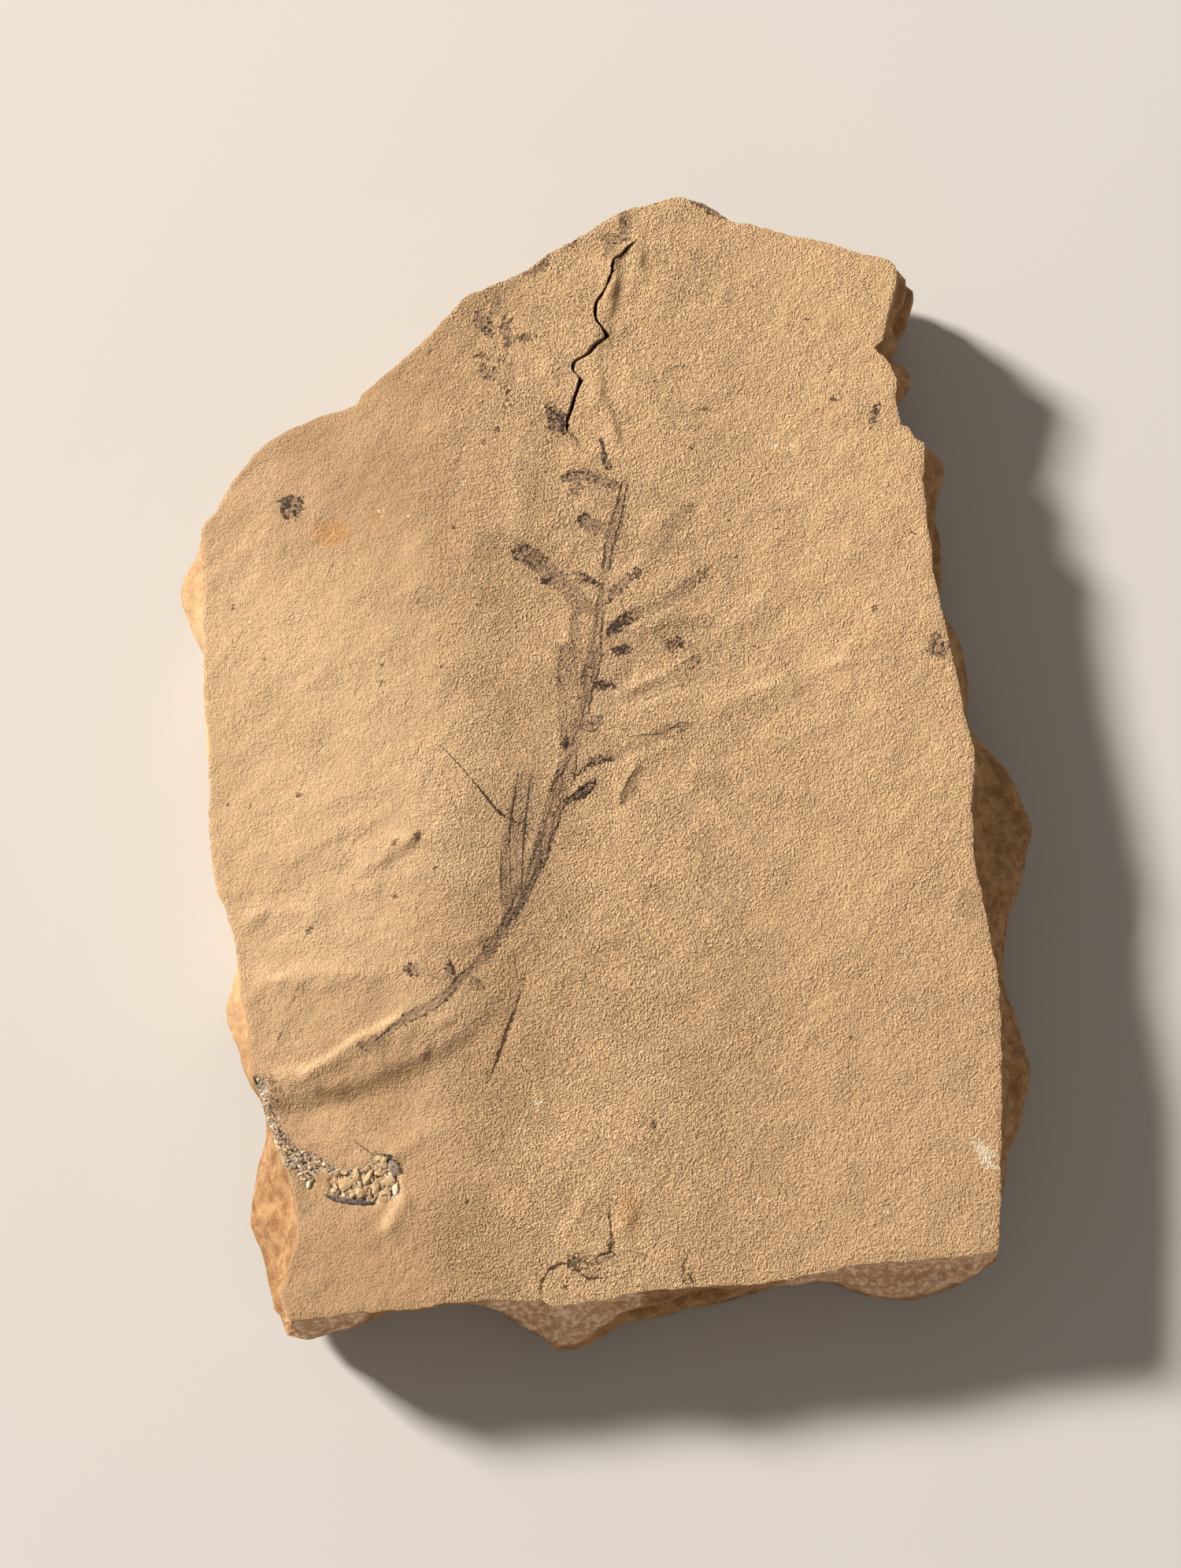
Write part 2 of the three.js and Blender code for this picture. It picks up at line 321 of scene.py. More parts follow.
@dataclass(frozen=True)
class Bed:
    """A ledge at a depth, below which the wall moves out and in by `swing` times a sine of the place."""

    depth: float
    ledge: float
    swing: float
    wave: Point
    phase: float


@dataclass(frozen=True)
class SoftStep:
    """A soft downward step to the right of a line on the face.

    The share `early` of the drop is spread over the whole width, and the rest comes after the share `late`.
    Along its line the step starts at the level `start`, grows at the rate `grow` and dies out over the last
    1/`fade`, and it is gone `spread` widths away.
    """

    line: Line
    width: float
    drop: float
    early: float = 1.0
    late: float = 0.0
    fade: float = 5.0
    start: float = 0.35
    grow: float = 5.0
    spread: float = 4.5


@dataclass(frozen=True)
class Ripples:
    """A train of low waves: its middle, the direction of its crests in degrees, and its sizes in mm."""

    at: Point
    crest_angle: float
    wavelength: float
    height: float
    along_reach: float
    across_reach: float


@dataclass(frozen=True)
class Relief:
    """A low ridge along a line of the face (a groove when its height is negative), in mm.

    Its cross-section is half a Gaussian on each side, `left` and `right` of the line's direction wide.
    """

    line: Line
    left: float
    right: float
    height: float


@dataclass
class Slab:
    """The broken slab: outline, relief, walls and back, and the grid that carries them.

    The grid's pitch over the face is a relative size of its cells, with changes that each give a place,
    the length over which it comes and its amount.
    """

    thickness: float = 12.0
    left_cells: int = 116
    right_cells: int = 116
    rows: int = 312
    back_share: int = 4
    row_pitch: float = 0.41
    row_changes: tuple[Triple, ...] = ((-24, 4, -0.15), (24, 4, -0.05), (45, 3, 0.06))
    column_reach: float = 28.0
    column_pitch: float = 0.11
    column_changes: tuple[Triple, ...] = ((0, 1.6, 0.08), (8, 6, 0.13), (26, 2, -0.12))
    spine_foot: Line = ((-8, -40.8), (-10.6, -35), (-14.6, -27), (-16.6, -23.4))
    spine_bend: Line = ((1.7, 26.1), (-0.2, 27.6))
    spine_head: Point = (4.6, 48.85)
    normal_reach: float = 4.8

    top_edge: Line = (
        (-31.5, 21.3), (-30.2, 23.2), (-29.1, 25.3), (-27.5, 27.4), (-25.6, 29.1), (-22.9, 30.5),
        (-20.6, 31.2), (-19.2, 31.8), (-18.5, 32.8), (-16.3, 34.8), (-13.8, 37.2), (-10.4, 40.9),
        (-9.9, 41.3), (-8.1, 42), (-5.1, 43.4), (-3.6, 44.6), (-1.6, 45.6), (0.5, 47), (2.3, 48.1),
        (4, 48.7), (5.6, 49.1), (6.9, 49.4), (8.4, 49.2), (9.3, 48.9), (10.6, 48), (11.6, 47.3),
        (13.8, 46.8), (16.6, 46), (18.9, 45.5), (21, 44.8), (24.2, 43.9), (25.2, 43),
    )
    bottom_edge: Line = (
        (-23.1, -42.3), (-19.4, -41.8), (-13.5, -41.4), (-11.4, -41), (-7.9, -40.8), (-3.8, -40.7),
        (-2.9, -41.3), (-0.7, -41), (1.4, -40.7), (3.9, -40.1), (8.5, -39.8), (13.2, -39.6),
        (17.8, -38.7), (20.6, -38.1), (24.8, -37.8), (29.4, -37.5), (31.3, -37),
    )
    left_edge: Line = (
        (-23.1, -42.3), (-24.1, -40.4), (-23.5, -38.8), (-22.9, -36.2), (-22.8, -34.6), (-23.2, -32.3),
        (-24, -29.9), (-24.9, -27.9), (-25.7, -25.3), (-26.4, -23.3), (-26.7, -21.4), (-27, -18.1),
        (-27.6, -16.5), (-28, -12.4), (-28.8, -9.9), (-29.5, -8.6), (-30.1, -5.1), (-30.4, -2.1),
        (-30.4, 2.5), (-31, 8.3), (-31.1, 13), (-31.5, 21.3),
    )
    right_edge: Line = (
        (31.3, -37), (31.6, -34.1), (32, -22.5), (31.9, -15.5), (31.4, -13.5), (31, -10.5),
        (30.4, -7.5), (30.2, -5.8), (30.1, -1.8), (30.5, 1.9), (29.6, 6.2), (28.8, 10.4), (28.2, 13.7),
        (27.6, 16.5), (27.1, 21), (26.8, 24.7), (27, 28), (26.2, 28.5), (25.7, 29.4),
        (25.1, 29.6), (24.9, 31), (24.7, 32.2), (24.9, 33.4), (24.1, 35.1), (23.1, 36.2),
        (23.8, 37), (24.5, 40), (24.8, 41.1), (25.2, 43),
    )

    walls: tuple[WallForm, ...] = table(
        WallForm,
        ((-31.2, 16.4), 6.2, 4.2, 4.2, 2.3), ((-30.2, 0), 13, 9, 7, -0.9), ((-26.8, -19), 8, 7, 6, 0.9),
        ((-23.4, -32.5), 9, 7.6, 7.2, 4.4), ((-21.6, -42.1), 2.6, 3, 2.8, 0.9),
        ((-13, -41.3), 6.5, 5.4, 5, -0.9), ((-3.2, -41.2), 6.2, 7.2, 6.6, 2.6),
        ((9.8, -39.7), 4, 6, 5.6, -0.5), ((23.5, -38), 9.5, 7.4, 6.8, 1.8), ((31.9, -24), 15, 6, 5.6, 1.7),
        ((30.4, -5.2), 13, 5.4, 5.2, 4.8), ((28.8, 10.4), 6, 5.6, 5.4, 2.1),
        ((26.9, 26.4), 4.2, 4.4, 4.2, 1.5), ((24.2, 35.4), 4.6, 4.6, 4.4, 2.2), ((20, 45), 7, 7, 6.5, 1.1),
        ((7, 49.3), 7, 8, 7, -1.4), ((-11, 40), 8, 6.6, 6, 1.2), ((-26.5, 28), 8, 8, 7, -1.1),
    )
    beds: tuple[Bed, ...] = table(
        Bed,
        (3.55, 0.5, 0.75, (0.23, 0.31), 1), (7.65, 0.5, 0.85, (0.17, -0.27), 2.2),
    )
    loops: tuple[float, ...] = (  # depths of the walls' loops, close at the rim and at the ledges
        0.1, 0.35, 0.9, 1.7, 2.6, 3.25, 3.55, 3.9, 4.9, 6.0, 7.0, 7.45, 7.7, 8.1, 9.2, 10.2, 11.2,
    )
    break_pitch: float = 4.6
    break_slant: float = 0.7
    break_swing: float = 0.12
    break_from: float = 2.0
    scoop_depth: float = 0.3
    facet_depth: float = 0.16
    lamina_height: float = 0.06
    grit_height: float = 0.03
    # The walls' finish also paints these stretches paler, as if lit by warm bounce light.
    crushed: tuple[Triple, ...] = (  # middle and reach of each stretch of crushed wall
        (-3.4, -42, 8), (1, -41.5, 5), (22, -38.5, 11), (29, -37.5, 5), (-20.5, -42.5, 5),
    )
    bevel_height: float = 2.1
    bevel_inset: float = 1.3
    back_rim_lift: float = 1.1
    back_flat_from: float = 0.16
    flake_at: Point = (19, -27)
    flake_reach: float = 15
    flake_lift: float = 0.9

    dome_at: Point = (-2, 2)
    dome_reach: Point = (40, 56)
    dome_height: float = 0.7
    fold: SoftStep = SoftStep(((0, 46), (-3.2, 36.7), (-5.4, 31.3), (-6.1, 23.3), (-6.3, 15)), 6, 0.55)
    step: SoftStep = SoftStep(
        ((-27, -23.6), (-20.3, -22.2), (-16.7, -21), (-11.7, -18.5), (-8.7, -15.4), (-5.6, -10.8)),
        3.7, 0.85, 0.3, 0.46, 1.8,
    )
    ripples: tuple[Ripples, ...] = table(
        Ripples,
        ((19, 9), 25, 3.4, 0.035, 11, 8), ((22, -2), 20, 4.2, 0.025, 10, 7), ((7, 9), 28, 3.4, 0.03, 6, 9),
        ((-20, -6), 13, 3, 0.035, 10, 7), ((-19, -15.5), 2, 2.8, 0.04, 8, 3.4),
        ((17, 24), 38, 3.6, 0.02, 9, 9), ((-18, 12), 8, 5, 0.03, 11, 10),
    )

    ripple_sway: float = 0.3
    ripple_waver: float = 0.12
    grain_angle: float = 40.0
    grain_stretch: float = 1.6
    calm_from: float = -12.0
    calm_over: float = 12.0
    octaves: tuple[tuple[float, float, float, int], ...] = (  # size, heights on the left and right, seed
        (6, 0.05, 0.004, 11), (3, 0.045, 0.008, 12), (1.5, 0.04, 0.02, 13), (0.8, 0.04, 0.045, 14),
    )
    relief_gain: float = 2.1
    relief_uneven: float = 0.5
    relief_ends: float = 4.0
    crest_shift: float = 0.6
    worn_gain: float = 6.0
    worn_reach: float = 0.45
    reliefs: tuple[Relief, ...] = table(
        Relief,
        (((10, 12.5), (12.6, 14.1), (14.2, 15.7)), 0.35, 1, 0.09),
        (((2.8, 12.1), (4.2, 12.9), (6.3, 14.1), (9, 15.5)), 0.3, 0.7, 0.09),
        (((1.5, 7), (4.2, 8.4), (6.6, 8.8), (8.4, 9.8)), 0.4, 0.5, 0.13),
        (((1.5, 4.8), (4.2, 6.4), (7, 7.4), (10.5, 6.9), (13.6, 7.6), (16, 8.7), (18, 9.1)), 0.5, 1.3, 0.11),
        (((18, 9.1), (21.4, 9.9), (25.5, 11.2)), 0.5, 1.3, 0.07),
        (((2.3, 1.6), (4.6, 2.5), (7.8, 3.5)), 0.3, 0.7, 0.08),
        (((11.6, -1), (13.2, -0.3), (15.6, -0.4), (18.6, -1)), 0.35, 1, 0.08),
        (((7.6, 1.2), (9.3, 1.2), (11.2, 0.8)), 0.6, 1.3, 0.07),
        (((18, 8.7), (19.9, 10.3), (21.3, 12.4), (23, 15.1)), 0.5, 1.2, 0.07),
        (((12.5, 3.6), (16.5, 5), (21, 5.8), (26, 7.2)), 0.8, 1.4, 0.05),
        (((10.5, 18.5), (13.5, 20.2), (17, 23)), 0.7, 1.3, 0.05),
        (((-18.9, -7.9), (-16.7, -6.6), (-15.4, -5.6), (-14, -4.8), (-12.8, -3.7)), 1.2, 0.45, 0.15),
        (((-16.9, -10.6), (-16.8, -8.7), (-16.3, -7.2), (-15, -5.9)), 0.9, 0.4, 0.06),
        (((-13.6, -12.6), (-10.2, -13.2), (-8.4, -12.7), (-6.9, -11.6)), 0.7, 0.5, 0.1),
        (((-27.2, -15.8), (-22.9, -15.3), (-19.1, -15), (-15.5, -15.7)), 0.4, 1.2, 0.15),
        (((-28.6, -5.9), (-23.1, -4.9), (-19, -3.8)), 0.6, 1.4, 0.07),
        (((-28.4, -10.4), (-24, -9.8), (-20, -10.4)), 0.6, 1.2, 0.06),
        (((-26.6, -22.4), (-22.8, -22.9), (-20.9, -22.1), (-18.6, -20.5), (-15.9, -19.2), (-13.4, -17.6)),
         0.45, 0.9, 0.15),
        (((-24.4, -23.6), (-22.3, -24), (-20.4, -24.6), (-18.6, -24.4), (-16.6, -23.4), (-13.7, -22.1),
          (-12, -21.2)),
         1.5, 0.5, 0.07),
        (((-13.2, -22.1), (-12.3, -20.6)), 0.6, 0.25, 0.07),
        (((-11.5, -21.8), (-10.7, -20.2)), 0.6, 0.25, 0.06),
        (((-11.9, -19.9), (-10.6, -18.7)), 0.6, 0.25, 0.07), (((-10, -23), (-9.3, -21.3)), 0.5, 0.25, 0.05),
        (((-19, -21.6), (-16.6, -20.4), (-14.4, -19.5), (-12.2, -18)), 0.5, 0.9, 0.05),
        (((-25.7, -24.4), (-24.4, -26.4), (-22.9, -28.4), (-20.6, -29.6), (-17.6, -30.2)), 1.1, 2.5, -0.16),
        (((-16.5, -35.8), (-15.3, -33.9), (-14.4, -32.1)), 0.4, 1, 0.1),
        (((-3.4, -36.9), (-1.7, -34.9), (-1.1, -33.6), (-0.4, -32.2), (0.8, -31.3), (3.8, -30.4)),
         0.35, 1.2, 0.1),
        (((1.9, -36.6), (2.6, -35.8), (3.1, -34.6), (4, -33)), 0.9, 0.3, 0.11),
        (((-15.4, -30.1), (-14.3, -29.2), (-12.3, -28.4)), 0.9, 0.3, 0.1),
        (((-9.2, -29), (-8, -27.9)), 0.7, 0.25, 0.06), (((-13.6, -26.4), (-11.4, -24.6)), 0.7, 0.25, 0.05),
        (((0.6, 32), (0.9, 37), (1.7, 39.2), (2.2, 41.7), (2.3, 44.6)), 1, 0.35, 0.12),
        (((2.2, 48.2), (2, 46.9)), 0.5, 0.25, 0.08),
        (((1.8, 45.2), (1.9, 44.2), (1.5, 42.9)), 0.4, 0.2, 0.11),
        (((2.8, 46.3), (2.5, 44.2)), 0.4, 0.2, 0.08), (((1.4, 42), (1.5, 41.2), (1, 40.3)), 0.4, 0.2, 0.11),
        (((3.4, 43), (3.1, 40.8)), 0.4, 0.2, 0.07), (((1, 38.4), (1.3, 37.5), (0.8, 36.2)), 0.4, 0.2, 0.1),
        (((2.4, 38.8), (2.3, 37)), 0.4, 0.2, 0.06),
        (((2.7, 26.9), (2, 29.9), (1.2, 31.8), (0.8, 34.4)), 0.9, 0.4, 0.15),
        (((4.3, 41.7), (4.3, 43.7), (4.1, 46.2)), 0.6, 0.25, 0.09),
        (((-1.9, 33.1), (-2.9, 33.3), (-3.4, 34.3), (-3.6, 35.4), (-3.2, 37)), 0.3, 0.5, 0.05),
        (((11.2, 39.9), (11.2, 42)), 0.5, 0.25, 0.06), (((16, 37.5), (16.3, 40)), 0.5, 0.3, 0.04),
        (((19.4, 37.2), (19.9, 39.4)), 0.5, 0.3, 0.05),
        (((-6.9, 17), (-6.3, 21), (-6.3, 25), (-6, 29.9)), 0.7, 2.4, 0.07),
        (((6.1, 33.7), (6.2, 35)), 0.6, 0.25, 0.07), (((2.9, 17.2), (4.6, 19), (6.6, 20.9)), 0.3, 0.7, 0.07),
        (((-2.4, 27.6), (-1.9, 26.8), (-0.6, 26.4), (1.3, 26.6)), 0.4, 0.35, 0.09),
        (((-1.5, 10.2), (-1.7, 11.9), (-1.9, 13.8)), 0.3, 0.25, 0.06),
        (((15.5, -20.8), (16.6, -20.5), (17.6, -19.2)), 0.3, 0.4, 0.05),
        (((1.9, -1.8), (2.7, 0.2), (3.7, 1.6)), 0.28, 0.35, 0.09),
    )

    crack: tuple[Triple, ...] = (  # plan point and half the gap
        (3.8, 45.7, 0.05), (3.2, 45.2, 0.14), (2.6, 44.4, 0.17), (1.9, 44, 0.16), (1.75, 42.8, 0.12),
        (1.35, 41.7, 0.11), (0.95, 41, 0.13), (0.45, 40.2, 0.13), (0.35, 39.3, 0.14), (0.5, 38.7, 0.14),
        (1.05, 38, 0.2), (1.45, 37.3, 0.24), (0.5, 36.7, 0.26), (-0.3, 35.7, 0.24), (-1.25, 35.3, 0.18),
        (-1.5, 34.6, 0.12), (-1.2, 34.2, 0.1), (-0.75, 33.7, 0.18), (-0.95, 33.1, 0.18), (-1.25, 32.2, 0.15),
        (-1.55, 31.1, 0.14), (-1.85, 30.3, 0.11), (-1.9, 29.3, 0.07), (-1.4, 28.8, 0.04),
    )
    crack_depth: float = 1.2
    crack_lift: float = 0.16
    gap_least: float = 0.1
    gap_shares: Triple = (0.16, 0.5, 0.84)
    lip_jag: float = 0.05
    hairlines: tuple[Stroke, ...] = table(
        Stroke,
        (((-6, -12.4), (-5.9, -14.7), (-5.6, -16.4)), 0.045, 0.6),
        (((-5.2, -15.8), (-5.9, -18.1), (-6.5, -19.6), (-6.9, -20.9), (-7.5, -22.5), (-8, -23.9)), 0.16, 1),
        (((-8.1, -24), (-8.7, -25.3)), 0.05, 0.45), (((-1.5, 29), (-1.05, 28.5), (-0.8, 27.9)), 0.06, 0.9),
        (((1.5, -33.6), (1.45, -34.3), (1.55, -35), (1.6, -35.6)), 0.09, 1),
        (((1.65, -35.7), (1.65, -36.4), (1.5, -37.1)), 0.2, 1),
        (((1.5, -37.1), (1.1, -37.25), (0.5, -37.45)), 0.08, 1),
        (((-2, -37.95), (-2.6, -38.1), (-3, -38.35), (-3.3, -38.55)), 0.16, 1),
        (((-3.2, -38.5), (-3.6, -39.1), (-3.8, -39.7), (-3.8, -40.2)), 0.1, 0.95),
        (((-0.5, -38.9), (-0.1, -39.15), (0.3, -39.1), (0.8, -39.15)), 0.12, 0.95),
        (((-13.8, -21.7), (-13.2, -20.9), (-12.4, -20.3)), 0.05, 0.55),
        (((-11.3, -20.1), (-10.3, -18.9)), 0.05, 0.4),
        (((7.7, -37.1), (7.2, -37.9), (7, -38.8), (7.2, -39.5)), 0.07, 0.8),
        (((7.2, -38.5), (7.6, -38.9), (7.9, -39.6)), 0.1, 0.9),
        (((-18.2, -28.5), (-17.5, -29), (-16.8, -29.6)), 0.07, 0.7),
    )

    pit_depth: float = 0.3
    pit_outlines: tuple[Line, ...] = (
        (
            (-26.3, -23.3), (-25.5, -23.3), (-25.2, -24.4), (-25, -25.6), (-24.4, -26.8), (-23.7, -28.1),
            (-22.8, -28.9), (-21.8, -29.2), (-20.9, -29.7), (-20.2, -30.1), (-19.6, -30.4), (-19.9, -30.7),
            (-20.5, -30.8), (-21.5, -30.7), (-21.6, -31.2), (-21.7, -32), (-21.9, -32.1), (-22.6, -31.5),
            (-22.8, -31.1), (-22.7, -30.4), (-23.5, -30.6), (-24.8, -29.9), (-26.2, -27),
        ),
        (
            (-19.6, -30.4), (-19, -30.5), (-17.8, -30.3), (-17.2, -30.2), (-16.6, -29.4), (-15.5, -29.4),
            (-14.9, -30.6), (-14.7, -31.2), (-14.7, -32.3), (-15.1, -32.9), (-15.9, -33.2), (-16.9, -33.35),
            (-18.3, -33.3), (-19.4, -33.1), (-20.5, -32.75), (-20.4, -32.3), (-20.3, -31.4), (-19.9, -30.7),
        ),
    )

    # -- heights and offsets, in mm

    def soft_step(self, step: SoftStep, x: Array, y: Array) -> Array:
        """Lowers the right side of a line by half a cosine, fading along it and far from it."""
        side = beside(step.line, x, y)
        fade = smooth(side.share * step.grow + step.start) * smooth((1 - side.share) * step.fade)
        reach = side.across / step.width
        later = smooth((reach - step.late) / (1 - step.late))
        lowered = step.early * (1 - bell(reach)) + (1 - step.early) * later
        lowered = np.where(side.across > 0, lowered, 0.0)
        return -step.drop * fade * lowered * bell(side.distance / (step.width * step.spread))

    def face_form(self, x: Array, y: Array) -> Array:
        """The face's large form over its rim plane: a parabolic dome and two soft steps."""
        dx = (x - self.dome_at[0]) / self.dome_reach[0]
        dy = (y - self.dome_at[1]) / self.dome_reach[1]
        dome = self.dome_height * (1 - dx * dx - dy * dy)
        return dome + self.soft_step(self.fold, x, y) + self.soft_step(self.step, x, y)

    def face_texture(self, x: Array, y: Array) -> Array:
        """Ripples as cosine waves under a Gaussian, and octaves of noise a little drawn out along them."""
        height = np.zeros(x.shape)
        sway = self.ripple_sway * noise(x / 9, y / 9, seed=3)
        waver = self.ripple_waver * noise(x / 3, y / 3, seed=4)
        for train in self.ripples:
            along, across = turned(x - train.at[0], y - train.at[1], math.radians(train.crest_angle))
            inside = np.exp(-((along / train.along_reach) ** 2) - (across / train.across_reach) ** 2)
            wave = np.cos(2 * np.pi * (across / train.wavelength + sway + waver))
            height += train.height * inside * wave
        along, across = turned(x, y, math.radians(self.grain_angle))
        along = along / self.grain_stretch
        calm = smooth((x - self.calm_from) / self.calm_over)
        for size, left, right, seed in self.octaves:
            height += (left + (right - left) * calm) * noise(along / size, across / size, seed=seed)
        return height

    def strokes_relief(self, x: Array, y: Array) -> tuple[Array, Array]:
        """The face's single ridges and grooves, each fading at its ends and uneven along its length.

        Args:
            x, y: Plan places in mm.

        Returns:
            Their height, and how worn and pale the stone is along them, from 0 to 1.
        """
        height, worn = np.zeros(x.shape), np.zeros(x.shape)
        uneven = 1 + self.relief_uneven * noise(x / 1.1, y / 1.1, seed=16)
        for relief in self.reliefs:
            side = beside(through(relief.line, 4), x, y)
            crest = self.crest_shift * (relief.left if relief.left < relief.right else -relief.right)
            past = side.distance - np.abs(side.across)
            across = np.hypot(side.across - crest, past) * np.sign(side.across - crest)
            width = np.where(across < 0, relief.left, relief.right)
            fade = smooth(side.share * self.relief_ends) * smooth((1 - side.share) * self.relief_ends)
            height += self.relief_gain * relief.height * fade * uneven * np.exp(-((across / width) ** 2))
            if relief.left < relief.right:
                rubbed = relief.height * self.worn_gain * np.exp(-((side.distance / self.worn_reach) ** 2))
                worn = np.maximum(worn, fade * uneven * rubbed)
        return height, np.clip(worn, 0, 1)

    def wall_offset(self, x: Array, y: Array, depth: float) -> Array:
        """How far the wall stands out of the rim: forms, beds, upright breaks and the back's bevel."""
        offset = np.zeros(x.shape)
        for form in self.walls:
            away = np.hypot(x - form.at[0], y - form.at[1]) / form.reach
            offset += form.out * bell(away) * bell((depth - form.depth) / form.half)
        for bed in self.beds:
            stands = np.sin(bed.wave[0] * x + bed.wave[1] * y + bed.phase)
            offset += bed.swing * stands * smooth((depth - bed.depth) / bed.ledge + 0.5)
        turn = (x * self.break_slant + y) / self.break_pitch
        zigzag = 2 * np.abs(2 * (turn - np.floor(turn)) - 1) - 1
        offset += self.break_swing * zigzag * smooth(depth / self.break_from)
        bevel = smooth((depth - self.thickness + self.bevel_height) / self.bevel_height)
        return offset - self.bevel_inset * bevel

    def wall_texture(self, x: Array, y: Array, depth: float) -> Array:
        """Conchoidal hollows, laminae and chips of the wall, none of them at the rim itself."""
        scoop = 0.5 - 1.3 * np.abs(noise(x / 5.5, y / 5.5, depth / 4.5, seed=21))
        facet = 0.22 - 0.7 * np.abs(noise(x / 1.9, y / 1.9, depth / 2.2, seed=22))
        lamina = self.lamina_height * noise(x / 7.0, y / 7.0, depth / 0.7, seed=23)
        grit = self.grit_height * noise(x / 0.5, y / 0.5, depth / 0.6, seed=24)
        return (self.scoop_depth * scoop + self.facet_depth * facet + lamina + grit) * smooth(depth / 1.2)

    def back_relief(self, x: Array, y: Array, inward: Array) -> Array:
        """Height of the back over the resting plane: a lifted rim, a lost scale and a flat middle."""
        rim = self.back_rim_lift * (1 + 0.4 * np.sin(x * 0.21 + 1) * np.cos(y * 0.17))
        away = np.hypot(x - self.flake_at[0], y - self.flake_at[1]) / self.flake_reach
        flake = self.flake_lift * smooth(1.6 * bell(away))
        return np.maximum(rim * (1 - smooth(inward / self.back_flat_from)), flake)

    # -- the face's grid

    @property
    def face_columns(self) -> int:
        """Cells across the face, those of the crack's gap among them."""
        return self.left_cells + len(self.gap_shares) + 1 + self.right_cells

    def spine(self, rows: Array, twig: Array) -> tuple[Array, Array, Array]:
        """The grid's middle line, which runs up the twig's stem and on along the crack.

        Args:
            rows: Shares up the face, one for each row of the grid.
            twig: The stem's middle line from its top down.

        Returns:
            The line's points, and the half gap and depth of the crack at each.
        """
        crack = np.asarray(self.crack)
        line = np.vstack([self.spine_foot, twig[::-1, :2], self.spine_bend, crack[::-1, :2], self.spine_head])
        line = line[np.argsort(line[:, 1], kind="stable")]
        y = np.interp(rows, [0, 1], [self.spine_foot[0][1], self.spine_head[1]])
        x = np.interp(y, line[:, 1], line[:, 0])
        order = np.argsort(crack[:, 1])
        half = np.interp(y, crack[order, 1], crack[order, 2], left=0, right=0)
        opened = smooth((half - 0.02) / 0.1)
        return np.stack([x, y], -1), np.maximum(half, self.gap_least / 2), self.crack_depth * opened

    def row_shares(self) -> Array:
        """Shares of the grid's rows up the face, closest beside the crack and the twig."""
        return graded(self.rows, self.spine_foot[0][1], self.spine_head[1], self.row_pitch, self.row_changes)

    def column_shares(self, cells: int) -> Array:
        """Shares of one half's columns from the rim (0) to the spine (1), closest at the spine."""
        return graded(cells, self.column_reach, 0.0, self.column_pitch, self.column_changes)

    @staticmethod
    def blend(low: Array, high: Array, start: Array, end: Array, u: Array, v: Array) -> Array:
        """Fills a four-sided patch from its edges (a Coons patch).

        Args:
            low: Bottom edge, a point for each u.
            high: Top edge, a point for each u.
            start: Edge at u = 0, a point for each v.
            end: Edge at u = 1, a point for each v.
            u: Shares across.
            v: Shares up.

        Returns:
            Points for each v and u: the two blends of opposite edges, less the blend of the corners.
        """
        u, v = u[None, :, None], v[:, None, None]
        sides = (1 - u) * start[:, None] + u * end[:, None] + (1 - v) * low[None] + v * high[None]
        corners = (1 - v) * ((1 - u) * low[0] + u * low[-1]) + v * ((1 - u) * high[0] + u * high[-1])
        return sides - corners

    def face_plan(self, twig: Array) -> tuple[Array, Array, Array, Array]:
        """The face's grid in plan.

        Args:
            twig: The stem's middle line from its top down.

        Returns:
            Plan points by row and column, each point's gap to the rim, the crack's depth, and the side of
            the spine (-1 left, 0 in the gap, 1 right).
        """
        v = self.row_shares()
        middle, half, depth = self.spine(v, twig)
        jag = self.lip_jag * smooth(depth)
        left_lip, right_lip = middle.copy(), middle.copy()
        left_lip[:, 0] -= half + jag * noise(middle[:, 1] / 0.35, seed=31)
        right_lip[:, 0] += half + jag * noise(middle[:, 1] / 0.3, seed=32)
        split_top = self.split(np.asarray(self.top_edge), left_lip[-1], right_lip[-1])
        split_bottom = self.split(np.asarray(self.bottom_edge), left_lip[0], right_lip[0])
        u_left, u_right = self.column_shares(self.left_cells), 1 - self.column_shares(self.right_cells)[::-1]
        left = self.blend(
            along_edge(split_bottom[0], u_left), along_edge(split_top[0], u_left),
            along_edge(self.left_edge, v), left_lip, u_left, v,
        )
        right = self.blend(
            along_edge(split_bottom[1], u_right), along_edge(split_top[1], u_right),
            right_lip, along_edge(self.right_edge, v), u_right, v,
        )
        across = np.asarray(self.gap_shares)[None, :, None]
        gap = left_lip[:, None] * (1 - across) + right_lip[:, None] * across
        plan = np.concatenate([left, gap, right], axis=1)
        side = np.repeat([-1, 0, 1], [self.left_cells + 1, len(self.gap_shares), self.right_cells + 1])
        edges = [plan[:, :1], plan[:, -1:], plan[:1], plan[-1:]]
        rim_gap = np.min([np.hypot(*np.moveaxis(plan - edge, -1, 0)) for edge in edges], axis=0)
        return plan, rim_gap, depth, side

    @staticmethod
    def split(edge: Array, left_end: Array, right_start: Array, clear: float = 0.2) -> tuple[Array, Array]:
        """Parts an edge that runs rightwards at the spine, each part ending on its lip."""
        before = edge[edge[:, 0] < left_end[0] - clear]
        after = edge[edge[:, 0] > right_start[0] + clear]
        return np.vstack([before, left_end]), np.vstack([right_start, after])

    @staticmethod
    def rim_loop(grid: Array) -> Array:
        """The grid's outer values as one anticlockwise loop: bottom, right, top and left."""
        return np.concatenate([grid[0, :-1], grid[:-1, -1], grid[-1, :0:-1], grid[:0:-1, 0]])

